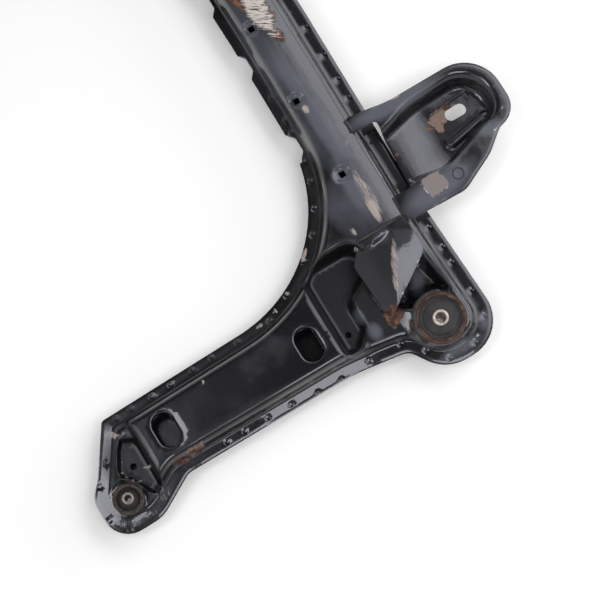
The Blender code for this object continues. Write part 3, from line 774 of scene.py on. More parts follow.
def show(obj: bpy.types.Object, nodes: Sequence[str], shift_y: float) -> bpy.types.Object:
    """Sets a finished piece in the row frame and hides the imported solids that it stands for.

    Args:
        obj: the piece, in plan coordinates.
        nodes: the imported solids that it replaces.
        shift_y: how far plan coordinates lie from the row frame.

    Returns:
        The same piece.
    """
    obj.data.transform(Matrix.Translation((0.0, shift_y, 0.0)))
    set_active(obj)
    bpy.ops.object.shade_smooth_by_angle(angle=SMOOTH_ANGLE)
    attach(obj, BODY)
    if nodes:
        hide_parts(*nodes)
    log.info("%s: %d faces", obj.name, len(obj.data.polygons))
    return obj


def object_of(mesh: bpy.types.Mesh, finish: bpy.types.Material) -> bpy.types.Object:
    """A new object of a mesh, with its finish."""
    mesh.materials.append(finish)
    return add_object(mesh.name, mesh)


def mirrored(mesh: bpy.types.Mesh, name: str) -> bpy.types.Mesh:
    """A mirror image of a mesh about the mid-plane.

    Args:
        mesh: the mesh, which is left as it is.
        name: the copy's name.

    Returns:
        The copy, its faces turned to point out again.
    """
    copy = mesh.copy()
    copy.name = name
    copy.transform(Matrix.Diagonal((-1.0, 1.0, 1.0, 1.0)))
    copy.flip_normals()
    return copy


@dataclass
class UpperPressing:
    """The upper sheet: the crossmember, both arms and the lobes round the bushes."""

    layout: Layout
    beam_crest: float = 0.026
    beam_shoulder: float = 0.020
    crest_y: float = 0.007
    crest_round: float = 0.016
    crest_power: float = 2.1
    shoulder_y: float = 0.036
    arm_height: float = 0.019
    boss_height: float = 0.013
    saddle_height: float = 0.006
    pocket_depth: float = 0.006
    pocket_run: float = 0.014
    end_seat_height: float = 0.006
    end_pocket_depth: float = 0.004
    end_pocket_run: float = 0.007
    end_tube_top: float = 0.003
    beam_end: float = 0.134
    beam_run_down: float = 0.066
    beam_steps: int = 13
    arm_blend_y: float = -0.125
    arm_blend_run: float = 0.095
    saddle_start: float = -0.030
    saddle_run: float = 0.015
    saddle_end: float = -0.095
    side_blend: float = 0.125
    side_blend_run: float = 0.035
    rim_back: float = 0.127
    arm_top_start: float = 0.131
    arm_top_end: float = 0.0515
    end_step_run: float = 0.009
    collar_flat: float = 0.002
    collar_slope: float = 1.5
    end_cup_run: float = 0.004
    end_cup_drop: float = 0.001
    rib_half_width: float = 0.006
    rib_height: float = 0.003
    slot_length: float = 0.0435
    slot_width: float = 0.0275
    slot_lip: float = 0.0035
    slot_offset: float = 0.0026
    slot_from_corner: float = 0.160
    slot_from_end: float = 0.0845
    dimple_pitch: float = 0.1122
    dimple_y: float = -0.0105
    dimple_radius: float = 0.012
    dimple_flat: float = 0.6
    dimple_depth: float = 0.003
    square_hole: float = 0.008
    drain_radius: float = 0.0045
    drain_place: tuple[float, float] = (-0.0324, 0.0258)
    pilot_radius: float = 0.004
    pilot_place: tuple[float, float] = (-0.0438, -0.109)
    notch_depth: float = 0.009
    notch_out: float = 0.0035
    notch_half_length: float = 0.022
    notch_flat: float = 0.35
    notch_reach: float = 0.012
    notches: tuple[float, ...] = (0.032, 0.157, -0.066, -0.157)
    weld_radius: float = 0.0050
    weld_depth: float = 0.0009
    weld_flat: float = 0.45
    spacing: float = 0.0055
    welds: list[tuple[float, float]] = field(default_factory=list)

    def rims(self) -> tuple[list[Corner], list[Corner], list[Corner]]:
        """The rims of the pockets.

        Returns:
            The recess and the cavity beside the corner bush, and the pocket beside the end bush.
        """
        cx, top = self.layout.corner_x, -self.arm_top_start
        ex, ey = self.layout.end_x, self.layout.end_y
        recess = [(cx - 0.147, -0.036, 0.030), (cx - 0.146, top, 0.028), (cx - 0.0135, top, 0.012),
                  (cx - 0.0135, -0.104, 0.014), (cx - 0.036, -0.081, 0.014), (cx - 0.075, -0.081, 0.016),
                  (cx - 0.100, -0.036, 0.020)]
        cavity = [(cx - self.rim_back, -0.052, 0.010), (cx - 0.040, -0.052, 0.014), (cx - 0.012, 0.0, 0.020),
                  (cx - 0.022, 0.036, 0.014), (cx - 0.085, 0.025, 0.030), (cx - self.rim_back, 0.026, 0.010)]
        end = [(-0.0730, 0.0280, 0.006), (-0.0613, 0.0170, 0.010), (-0.0390, 0.0045, 0.008),
               (-0.0250, 0.0045, 0.008), (-0.0180, 0.0135, 0.020), (-0.0040, 0.0205, 0.040),
               (0.0090, 0.0265, 0.020), (0.0200, 0.0360, 0.006), (0.0190, 0.0475, 0.006),
               (-0.0520, 0.0485, 0.010), (-0.0630, 0.0455, 0.006)]
        return recess, cavity, [(ex + x, ey + y, radius) for x, y, radius in end]

    def rib_line(self) -> np.ndarray:
        """The line of the raised rib between the end pocket and the end bush."""
        steps = ((-0.0242, 0.0026), (-0.0177, 0.0133), (-0.0059, 0.0207), (0.0080, 0.0269),
                 (0.0164, 0.0335), (0.0187, 0.0422))
        return np.array([(self.layout.end_x + x, self.layout.end_y + y) for x, y in steps])

    def slots(self, margin: float) -> list[np.ndarray]:
        """The arm's two oblong holes.

        Args:
            margin: how far outside their edges they are drawn.

        Returns:
            Their outlines.
        """
        length, width = self.slot_length + 2.0 * margin, self.slot_width + 2.0 * margin
        ys = (-self.slot_from_corner, self.layout.end_y + self.slot_from_end)
        x = self.layout.arm_middle + self.slot_offset
        return [box_outline(x, y, length, width, width / 2.0 - 0.0005) for y in ys]

    def dimples(self) -> list[tuple[float, float]]:
        """The middles of the square-holed dimples in the right half."""
        return [(i * self.dimple_pitch, self.dimple_y) for i in range(3)]

    def beam_section(self) -> list[tuple[float, float]]:
        """The crossmember's top, flat in front and falling ever faster behind.

        Returns:
            Pairs of Y and height.
        """
        fall = self.beam_crest - self.beam_shoulder
        start = self.crest_y - self.crest_round
        run = self.shoulder_y - start
        return [(start + share * run, self.beam_crest - fall * share ** self.crest_power)
                for share in np.linspace(0.0, 1.0, self.beam_steps)]

    def height(self, points: np.ndarray) -> np.ndarray:
        """Height of the sheet's top face.

        Args:
            points: places in either half.

        Returns:
            One height for each point.
        """
        layout = self.layout
        points = np.column_stack([np.abs(points[:, 0]), points[:, 1]])
        x, y = points[:, 0], points[:, 1]
        cx, ey = layout.corner_x, layout.end_y
        beam = np.interp(y, *zip(*self.beam_section()))
        toward = smooth((x - (cx - self.beam_end)) / self.beam_run_down)
        level = blend(beam, self.boss_height, toward)
        near = smooth((y - self.arm_blend_y) / self.arm_blend_run)
        left = blend(self.arm_height, level, near)
        rise = np.clip((self.saddle_end - y) / (self.arm_top_start + self.saddle_end), 0.0, 1.0)
        fall = np.clip((self.saddle_start - y) / self.saddle_run, 0.0, 1.0)
        right = blend(blend(level, self.saddle_height, fall), self.arm_height, rise)
        level = blend(left, right, smooth((x - (cx - self.side_blend)) / self.side_blend_run))
        step = shaped(ey + self.arm_top_end - y, self.end_step_run, POCKET)
        level = blend(level, self.end_seat_height, step)
        recess, cavity, end = [rounded(corners) for corners in self.rims()]
        low = np.maximum(shaped(depth_in(points, recess), self.pocket_run, POCKET),
                         shaped(depth_in(points, cavity), self.pocket_run, POCKET))
        level = blend(level, -self.pocket_depth, low)
        low = shaped(depth_in(points, end), self.end_pocket_run, POCKET)
        level = blend(level, -self.end_pocket_depth, low)
        away = np.hypot(x - cx, y)
        beyond = np.maximum(away - layout.corner_tube - self.collar_flat, 0.0)
        level = np.maximum(level, self.boss_height - beyond * self.collar_slope)
        away = np.hypot(x - layout.end_x, y - ey)
        cup = shaped(away - layout.end_tube - self.collar_flat, self.end_cup_run, POCKET)
        level = blend(np.minimum(level, self.end_tube_top - self.end_cup_drop), level, cup)
        rib = from_line(points, self.rib_line(), False)
        level = level + self.rib_height * (1.0 - smooth(rib / self.rib_half_width))
        for slot in self.slots(0.0):
            lip = np.clip(-depth_in(points, slot) / self.slot_lip, 0.0, 1.0)
            level = level - self.slot_lip * (1.0 - lip) ** 2
        for middle in self.dimples():
            away = np.hypot(x - middle[0], y - middle[1]) / self.dimple_radius
            rise = smooth((away - self.dimple_flat) / (1.0 - self.dimple_flat))
            level = level - self.dimple_depth * (1.0 - rise)
        level = level * layout.wall_share(points)
        for weld in self.welds:
            away = np.hypot(x - weld[0], y - weld[1]) / self.weld_radius
            rise = smooth((away - self.weld_flat) / (1.0 - self.weld_flat))
            level = level - self.weld_depth * (1.0 - rise)
        return layout.flange_top + level - layout.rim_droop(points)

    def plan(self) -> Plan:
        """Draws the sheet, with lines enough for its bends to look round.

        Returns:
            The plan.
        """
        layout = self.layout
        ex, ey, cx = layout.end_x, layout.end_y, layout.corner_x
        drain = circle(ex + self.drain_place[0], ey + self.drain_place[1], self.drain_radius, HOLE_SIDES)
        pilot = circle(cx + self.pilot_place[0], self.pilot_place[1], self.pilot_radius, 24)
        side = self.square_hole
        squares = [box_outline(*middle, side, side, 0.0009) for middle in self.dimples()]
        holes = layout.tube_holes() + [drain, pilot] + squares + self.slots(0.0)
        plan = Plan(rounded(layout.corners()), holes)
        layout.add_wall(plan)
        for share in (0.2, 0.45, 0.7, 1.0):
            for slot in self.slots(self.slot_lip * share):
                plan.add_line(slot)
        recess, cavity, end = self.rims()
        for share, _ in POCKET:
            plan.add_line(shrunk(recess, share * self.pocket_run))
            plan.add_line(shrunk(cavity, share * self.pocket_run))
            plan.add_line(shrunk(end, share * self.end_pocket_run))
            y = ey + self.arm_top_end - share * self.end_step_run
            plan.add_line([(layout.arm_outer - layout.arm_width + 0.012, y), (ex + 0.023, y)], closed=False)
        for run in (0.0, 0.003, 0.0065, 0.010):
            plan.add_line(circle(cx, 0.0, layout.corner_tube + self.collar_flat + run, CORNER_SIDES))
        for run in (0.0, 0.0012, 0.0028, 0.004):
            plan.add_line(circle(ex, ey, layout.end_tube + self.collar_flat + run, END_SIDES))
        middle, foot = strip_guides(self.rib_line(), self.rib_half_width)
        plan.add_line(middle, closed=False)
        plan.add_line(foot)
        for y, _ in self.beam_section():
            plan.add_line([(0.0, y), (cx - self.beam_end, y)], closed=False)
        for middle in self.dimples():
            for share in (self.dimple_flat, 0.7, 0.8, 0.9, 1.0):
                plan.add_line(circle(*middle, self.dimple_radius * share, HOLE_SIDES))
        for weld in self.welds:
            for share in (0.4, 0.7, 1.0):
                plan.add_line(circle(*weld, self.weld_radius * share, 12))
        plan.add_grid(self.spacing)
        return plan

    def build(self, finish: bpy.types.Material, patches: Sequence[Patch]) -> bpy.types.Object:
        """Makes the pressing with its wear.

        Args:
            finish: its paint.
            patches: where the paint is worn.

        Returns:
            The piece.
        """
        obj = object_of(self.plan().mesh("upper_pressing", self.height, -self.layout.sheet), finish)
        whole_from_half(obj, self.notch_cutter())
        wear_mesh(obj.data, patches, self.layout.joint_height - 0.02)
        return show(obj, ["upper_shell"], self.layout.shift_y)

    def notch_cutter(self) -> bpy.types.Object:
        """Makes the cutter for the bites that leave the front flange scalloped.

        Returns:
            The cutter.
        """
        shape = bmesh.new()
        low = self.layout.joint_height - self.notch_reach
        high = self.layout.joint_height + self.notch_reach
        edge = -self.layout.front_edge
        for middle in self.notches:
            reach = np.linspace(-1.0, 1.0, 29)
            deep = smooth((1.0 - np.abs(reach)) / (1.0 - self.notch_flat))
            depths = self.notch_depth * deep - self.notch_out
            bite = [(middle + r * self.notch_half_length, edge + depth) for r, depth in zip(reach, depths)]
            outer = [(bite[-1][0], edge - 0.03), (bite[0][0], edge - 0.03)]
            face = shape.faces.new([shape.verts.new((x, y, low)) for x, y in (bite + outer)[::-1]])
            top = bmesh.ops.extrude_face_region(shape, geom=[face])["geom"]
            risen = [item for item in top if isinstance(item, bmesh.types.BMVert)]
            bmesh.ops.translate(shape, vec=(0.0, 0.0, high - low), verts=risen)
        bmesh.ops.recalc_face_normals(shape, faces=shape.faces)
        return add_object("notch_cutter", mesh_of(shape, "notch_cutter"))


def whole_from_half(obj: bpy.types.Object, cutter: bpy.types.Object) -> None:
    """Mirrors a half sheet about the mid-plane and cuts the notches in its flange.

    Args:
        obj: the half sheet.
        cutter: the notches, which are removed afterwards.
    """
    mirror = obj.modifiers.new("mirror", "MIRROR")
    mirror.use_clip = True
    mirror.merge_threshold = 0.0001
    hole = obj.modifiers.new("notches", "BOOLEAN")
    hole.operation = "DIFFERENCE"
    hole.solver = "EXACT"
    hole.object = cutter
    apply_all(obj)
    bpy.data.objects.remove(cutter, do_unlink=True)


@dataclass
class LowerPressing:
    """The lower sheet: a tray under the upper one, with stiffening swages in its floor."""

    layout: Layout
    margin: float = 0.0015
    foot_out: float = 0.0020
    swage_top: float = 0.006
    swage_half_width: float = 0.013
    swage_height: float = 0.004
    drain_radius: float = 0.0065
    drain_from_end: float = 0.052
    beam_swage_y: float = -0.002
    beam_swage_end: float = 0.165
    arm_swage_start: float = -0.200
    arm_swage_from_end: float = 0.125
    spacing: float = 0.011

    def swages(self) -> list[np.ndarray]:
        """The swages in the right half, one along the crossmember and one along the arm.

        Returns:
            Their middle lines.
        """
        arm, ey = self.layout.arm_middle, self.layout.end_y
        reach, y = self.layout.corner_x - self.beam_swage_end, self.beam_swage_y
        return [np.array([(0.0, y), (reach, y)]),
                np.array([(arm, self.arm_swage_start), (arm, ey + self.arm_swage_from_end)])]

    def height(self, points: np.ndarray) -> np.ndarray:
        """Height of the sheet's top face.

        Args:
            points: places in either half.

        Returns:
            One height for each point.
        """
        points = np.column_stack([np.abs(points[:, 0]), points[:, 1]])
        level = np.full(len(points), -self.layout.lower_depth)
        side = self.swage_half_width - self.swage_top
        for line in self.swages():
            away = (from_line(points, line, False) - self.swage_top) / side
            level = level + self.swage_height * (1.0 - smooth(away))
        level = level * self.layout.wall_share(points, self.foot_out) - self.layout.rim_droop(points)
        return self.layout.joint_height + level

    def plan(self) -> Plan:
        """Draws the sheet.

        Returns:
            The plan.
        """
        layout = self.layout
        corners = inset(layout.corners(), layout.even_widths(-self.margin))
        drain = circle(layout.arm_middle, layout.end_y + self.drain_from_end, self.drain_radius, HOLE_SIDES)
        plan = Plan(rounded(corners), layout.tube_holes() + [drain], step=0.008)
        layout.add_wall(plan, self.foot_out)
        for line in self.swages():
            size = np.abs(line[1] - line[0])
            middle = line.mean(axis=0)
            for half in np.linspace(self.swage_top, self.swage_half_width, 3):
                ring = box_outline(*middle, size[0] + 2.0 * half, size[1] + 2.0 * half, half * 0.95)
                wide = size[0] > size[1]
                plan.add_line(ring[ring[:, 0] >= 0.0] if wide else ring, closed=not wide)
        plan.add_grid(self.spacing)
        return plan

    def build(self, finish: bpy.types.Material, patches: Sequence[Patch],
              cutter: bpy.types.Object) -> bpy.types.Object:
        """Makes the pressing with its wear.

        Args:
            finish: its paint.
            patches: where the paint is worn.
            cutter: the notches in its front flange.

        Returns:
            The piece.
        """
        obj = object_of(self.plan().mesh("lower_pressing", self.height, -self.layout.sheet), finish)
        whole_from_half(obj, cutter)
        wear_mesh(obj.data, patches, 0.0)
        return show(obj, ["lower_shell"], self.layout.shift_y)


@dataclass
class MountTray:
    """A dished tray, welded over the crossmember's back flange."""

    layout: Layout
    shell: UpperPressing
    x: float = 0.222
    reach: float = 0.2255
    root: float = 0.060
    root_skew: float = 0.003
    leg_start: float = 0.030
    rim_height: float = 0.0215
    edge_drop: float = 0.003
    left: float = -0.058
    right: float = 0.0983
    floor_rise: float = 0.006
    rise_start: float = 0.125
    slot_x: float = 0.0035
    slot_y: float = 0.160
    slot_length: float = 0.029
    slot_width: float = 0.016
    mark_place: tuple[float, float] = (0.078, 0.1157)
    mark_radius: float = 0.0085
    mark_depth: float = 0.0012
    mark_ring: float = 0.85
    edge_run: float = 0.005
    spacing: float = 0.005

    def corners(self) -> list[Corner]:
        """The tray's edge.

        Returns:
            Its corners, anticlockwise.
        """
        left, right = self.x + self.left, self.x + self.right
        return [(left, self.leg_start, 0.004), (left + 0.0225, self.leg_start, 0.004),
                (left + 0.0225, self.root + self.root_skew, 0.004),
                (right - 0.0365, self.root - self.root_skew, 0.004),
                (right - 0.0365, self.leg_start, 0.004), (right, self.leg_start, 0.006),
                (right + 0.0025, 0.114, 0.030), (right - 0.0220, self.reach - 0.060, 0.060),
                (right - 0.0450, self.reach - 0.031, 0.015), (right - 0.0510, self.reach, 0.032),
                (left + 0.0080, self.reach, 0.052), (left + 0.0080, 0.090, 0.100)]

    def dish(self, share: float) -> np.ndarray:
        """A level line of the dish, which is open at the tray's root.

        Args:
            share: 0 for the dish's rim, 1 for the edge of its floor.

        Returns:
            The line, which runs on past the tray's own edge at the root.
        """
        start, end = self.leg_start - 0.02, self.reach
        rim = np.array([(-0.0275, start, 0.0), (0.0610, start, 0.0), (0.0625, 0.075, 0.050),
                        (0.0665, 0.109, 0.040), (0.0430, 0.183, 0.050), (0.0360, end - 0.012, 0.030),
                        (-0.0435, end - 0.012, 0.045), (-0.0410, 0.110, 0.080), (-0.0275, 0.068, 0.050)])
        floor = np.array([(-0.0060, start, 0.0), (0.0500, start, 0.0), (0.0515, 0.075, 0.050),
                          (0.0580, 0.108, 0.040), (0.0330, 0.178, 0.040), (0.0260, end - 0.0275, 0.025),
                          (-0.0250, end - 0.0275, 0.035), (-0.0200, 0.110, 0.080), (-0.0080, 0.066, 0.050)])
        return rounded(blend(rim, floor, share) + (self.x, 0.0, 0.0))

    def ribs(self) -> list[tuple[np.ndarray, float, float]]:
        """The middle line, half width and height of each rib in the floor."""
        rows = (((-0.0098, 0.130), (-0.0149, 0.183), 0.0030, 0.0030),
                ((0.0368, 0.1325), (0.0265, 0.190), 0.0085, 0.0045))
        return [(np.array([start, end]) + (self.x, 0.0), half, height) for start, end, half, height in rows]

    def mark(self) -> tuple[float, float]:
        """The middle of the round mark pressed in the rim."""
        return self.x + self.mark_place[0], self.mark_place[1]

    def height(self, points: np.ndarray) -> np.ndarray:
        """Height of the underside, which rests on the crossmember's flange and shoulder.

        Args:
            points: places in the right half.

        Returns:
            One height for each point.
        """
        below_rim = np.maximum(depth_in(points, self.dish(0.0)), 0.0)
        off_floor = np.maximum(-depth_in(points, self.dish(1.0)), 0.0)
        dish = shaped(below_rim / np.maximum(below_rim + off_floor, 1e-9), 1.0, POCKET)
        rise = self.floor_rise * smooth((self.rise_start - points[:, 1]) / (self.rise_start - self.root))
        level = blend(self.rim_height, rise, dish)
        for line, half, height in self.ribs():
            level = level + height * (1.0 - smooth(from_line(points, line, False) / half))
        ring = np.hypot(*(points - self.mark()).T) / self.mark_radius
        ring = np.abs(ring - self.mark_ring) / (1.0 - self.mark_ring)
        level = level - self.mark_depth * np.clip(1.0 - ring, 0.0, 1.0)
        edge = np.clip(depth_in(points, rounded(self.corners())) / self.edge_run, 0.0, 1.0)
        outer = points[:, 1] > self.layout.back_edge + 0.006
        level = np.maximum(level - self.edge_drop * (1.0 - edge) ** 2 * outer, 0.0)
        base = self.layout.flange_top
        shell = self.shell.height(points)
        shell += self.layout.gap * (1.0 + np.clip((shell - base) / 0.001, 0.0, 1.0))
        return np.maximum(base + self.layout.gap + level, shell)

    def plan(self) -> Plan:
        """Draws the tray.

        Returns:
            The plan.
        """
        slot = box_outline(self.x + self.slot_x, self.slot_y, self.slot_width, self.slot_length,
                           self.slot_width / 2.0 - 0.0005)
        plan = Plan(rounded(self.corners()), [slot], step=0.005)
        for share in (0.2, 0.4, 0.7, 1.0):
            plan.add_line(shrunk(self.corners(), share * self.edge_run))
        for share, _ in POCKET:
            plan.add_line(self.dish(share))
        for line, half, _ in self.ribs():
            for share in (1.0, 0.75, 0.5, 0.25):
                middle, foot = strip_guides(line, half * share)
                plan.add_line(foot)
            plan.add_line(middle, closed=False)
        for share in (0.7, self.mark_ring, 1.0):
            plan.add_line(circle(*self.mark(), self.mark_radius * share, HOLE_SIDES))
        self.layout.add_wall(plan)
        plan.add_grid(self.spacing)
        return plan

    def build(self, finish: bpy.types.Material, patches: Sequence[Patch]) -> list[bpy.types.Object]:
        """Makes the tray of each side.

        Args:
            finish: its paint.
            patches: where the paint is worn.

        Returns:
            The two pieces.
        """
        mesh = self.plan().mesh("mount_tray_pressing_right", self.height, self.layout.sheet)
        return both_sides(mesh, "mount_tray", "mount_tray_pressing", finish, patches, self.layout)


@dataclass
class GussetPlate:
    """A folded plate that ties the crossmember's end to the head of the arm."""

    layout: Layout
    shell: UpperPressing
    sheet: float = 0.003
    end_rise: float = 0.005
    front_fall: float = 0.15
    back_fall: float = 0.15
    flat_share: float = 0.3
    fold_round: float = 0.0015
    spacing: float = 0.004

    def corners(self) -> list[Corner]:
        """The plate's edge.

        Returns:
            Its corners, anticlockwise.
        """
        cx = self.layout.corner_x
        return [(cx - 0.1342, 0.027, 0.003), (cx - 0.1306, -0.043, 0.004), (cx - 0.1114, -0.060, 0.006),
                (cx - 0.0430, -0.056, 0.003), (cx - 0.0365, -0.045, 0.003), (cx - 0.0805, 0.022, 0.004),
                (cx - 0.0870, 0.027, 0.003)]

    def fold(self) -> np.ndarray:
        """The two ends of the fold."""
        cx = self.layout.corner_x
        return np.array([(cx - self.shell.rim_back, self.shell.crest_y), (cx - 0.0440, -0.0380)])

    def height(self, points: np.ndarray) -> np.ndarray:
        """Height of the underside: two twisted facets that fall from the fold.

        Args:
            points: places in the right half.

        Returns:
            One height for each point.
        """
        start, end = self.fold()
        length = np.linalg.norm(end - start)
        run = (end - start) / length
        along = np.clip(((points - start) @ run) / length, 0.0, 1.1)
        across = (points - start) @ np.array([-run[1], run[0]])
        ridge = blend(self.shell.beam_crest, self.shell.saddle_height + self.end_rise, along)
        round_off = np.sqrt(across ** 2 + self.fold_round ** 2) - self.fold_round
        twist = blend(self.flat_share, 1.0, np.clip(along, 0.0, 1.0))
        facets = ridge - twist * round_off * np.where(across > 0.0, self.back_fall, self.front_fall)
        base = self.layout.flange_top + self.layout.gap
        return np.maximum(base + facets, self.shell.height(points) + self.layout.gap)

    def plan(self) -> Plan:
        """Draws the plate.

        Returns:
            The plan.
        """
        plan = Plan(rounded(self.corners()), step=0.004)
        start, end = self.fold()
        side = np.array([-(end - start)[1], (end - start)[0]]) / np.linalg.norm(end - start)
        for shift in (-0.004, -0.0015, 0.0, 0.0015, 0.004):
            plan.add_line([start + side * shift, end + side * shift], closed=False)
        for rim in self.shell.rims()[:2]:
            for share, _ in POCKET[:4]:
                plan.add_line(shrunk(rim, share * self.shell.pocket_run))
        plan.add_grid(self.spacing)
        return plan

    def build(self, finish: bpy.types.Material, patches: Sequence[Patch]) -> list[bpy.types.Object]:
        """Makes the plate of each side, no point of it higher than the crest allows.

        Args:
            finish: its paint.
            patches: where the paint is worn.

        Returns:
            The two pieces.
        """
        mesh = self.plan().mesh("gusset_sheet_right", self.height, self.sheet)
        top = self.layout.flange_top + self.shell.beam_crest + self.layout.gap + self.sheet
        for vertex in mesh.vertices:
            vertex.co.z = min(vertex.co.z, top)
        return both_sides(mesh, "gusset_plate", "gusset_sheet", finish, patches, self.layout)


def both_sides(mesh: bpy.types.Mesh, node: str, name: str, finish: bpy.types.Material,
               patches: Sequence[Patch], layout: Layout) -> list[bpy.types.Object]:
    """Makes a right-hand piece and its mirror image.

    Args:
        mesh: the right-hand mesh, in plan coordinates.
        node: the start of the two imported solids' names.
        name: the start of the two pieces' names.
        finish: their paint.
        patches: where it is worn.
        layout: the shared sizes.

    Returns:
        The two pieces.
    """
    pieces = []
    for side, half in (("right", mesh), ("left", mirrored(mesh, f"{name}_left"))):
        wear_mesh(half, patches, 0.0)
        slot = f"{node}_{side}"
        pieces.append(show(object_of(half, finish), [slot], layout.shift_y))
    return pieces


# The rubber's upper face, from the sleeve in: shares of its width and of its crown, and a rise
RUBBER_FACE = ((0.0, 0.0, 0.0), (0.10, 0.0, 0.0002), (0.17, 0.0, -0.0016), (0.30, 0.0, -0.0018),
               (0.40, 0.3, -0.0008), (0.70, 0.62, -0.0004), (0.88, 0.94, 0.0), (1.0, 1.0, 0.0))


@dataclass
class Bush:
    """A rubber bush in its welded tube: housing, sleeve, rubber and core."""

    layout: Layout
    name: str
    x: float
    y: float
    tube: float
    core: float
    bolt: float
    tube_top: float
    core_top: float
    crown: float
    steps: int
    sleeve_wall: float = 0.002
    sleeve_overhang: float = 0.003
    sleeve_step: float = 0.0005
    tube_overhang: float = 0.002
    rubber_sink: float = 0.001
    rubber_hollow: float = 0.0025
    tube_break: float = 0.0007
    core_break: float = 0.0012
    foot_break: float = 0.0006

    def profiles(self) -> dict[str, list[tuple[float, float]]]:
        """The closed profile of each piece.

        Returns:
            Pairs of radius and height for each piece's name.
        """
        layout = self.layout
        gap = layout.gap
        bore = self.tube - layout.tube_wall
        sleeve = bore - gap
        rubber = sleeve - self.sleeve_wall
        foot = layout.joint_height - layout.lower_depth - layout.sheet
        top = layout.flange_top + self.tube_top
        face = top - self.rubber_sink
        wide = rubber - gap
        near = self.core + gap
        web = wide - near
        cap = layout.flange_top + self.core_top
        step, ring, low = self.sleeve_step, self.tube_break, self.foot_break
        brim, core, bolt = self.core_break, self.core, self.bolt
        upper = [(wide - web * share, face + self.crown * much + rise) for share, much, rise in RUBBER_FACE]
        return {
            "housing": [(bore, top), (self.tube - ring, top), (self.tube, top - ring),
                        (self.tube, foot - self.tube_overhang), (bore, foot - self.tube_overhang)],
            "sleeve": [(rubber, top), (rubber + step, top + step), (sleeve, top + step),
                       (sleeve, foot - self.sleeve_overhang), (rubber, foot - self.sleeve_overhang)],
            "rubber": [(wide, foot), *upper, (near, foot), (near + web * 0.5, foot + self.rubber_hollow)],
            "core": [(bolt + brim, cap), (core - brim, cap), (core, cap - brim), (core, low),
                     (core - low, 0.0), (bolt + low, 0.0), (bolt, low), (bolt, cap - brim)],
        }

    def build(self, finishes: dict[str, bpy.types.Material], side: str) -> list[bpy.types.Object]:
        """Makes the bush of one side.

        Args:
            finishes: the finish of each piece.
            side: right or left.

        Returns:
            Its four pieces.
        """
        sign = 1.0 if side == "right" else -1.0
        pieces = []
        for part, profile in self.profiles().items():
            slot = f"{self.name}_{part}_{side}"
            obj = turned(f"{self.name}_turned_{part}_{side}", profile, self.steps, (sign * self.x, self.y))
            obj.data.materials.append(finishes[part])
            pieces.append(show(obj, [slot], self.layout.shift_y))
        return pieces


def turned(name: str, profile: Sequence[tuple[float, float]], steps: int,
           place: tuple[float, float]) -> bpy.types.Object:
    """Turns a closed profile about an upright axis.

    Args:
        name: the piece's name.
        profile: pairs of radius and height, in order round the section.
        steps: how many faces go round.
        place: the axis, in plan.

    Returns:
        A closed piece with lightly bevelled edges.
    """
    select_none()
    bpy.ops.mesh.primitive_circle_add(vertices=steps, radius=profile[0][0], location=(*place, profile[0][1]))
    obj = bpy.context.active_object
    obj.name = name
    obj.data.name = name
    bpy.ops.object.mode_set(mode="EDIT")
    bpy.ops.mesh.select_mode(type="EDGE")
    bpy.ops.mesh.select_all(action="SELECT")
    for (near, low), (far, high) in zip(profile, profile[1:]):
        bpy.ops.mesh.extrude_edges_move(TRANSFORM_OT_translate={"value": (0.0, 0.0, high - low)})
        grow = far / near
        bpy.ops.transform.resize(value=(grow, grow, 1.0), center_override=(*place, high))
    bpy.ops.mesh.select_all(action="DESELECT")
    bpy.ops.mesh.select_non_manifold()
    bpy.ops.mesh.bridge_edge_loops()
    bpy.ops.mesh.select_all(action="SELECT")
    bpy.ops.mesh.normals_make_consistent(inside=False)
    bpy.ops.object.mode_set(mode="OBJECT")
    bpy.ops.object.transform_apply(location=True, rotation=True, scale=True)
    soften = obj.modifiers.new("soften", "BEVEL")
    soften.width = EDGE_BREAK
    soften.segments = 2
    soften.limit_method = "ANGLE"
    soften.angle_limit = BREAK_ANGLE
    apply_all(obj)
    return obj


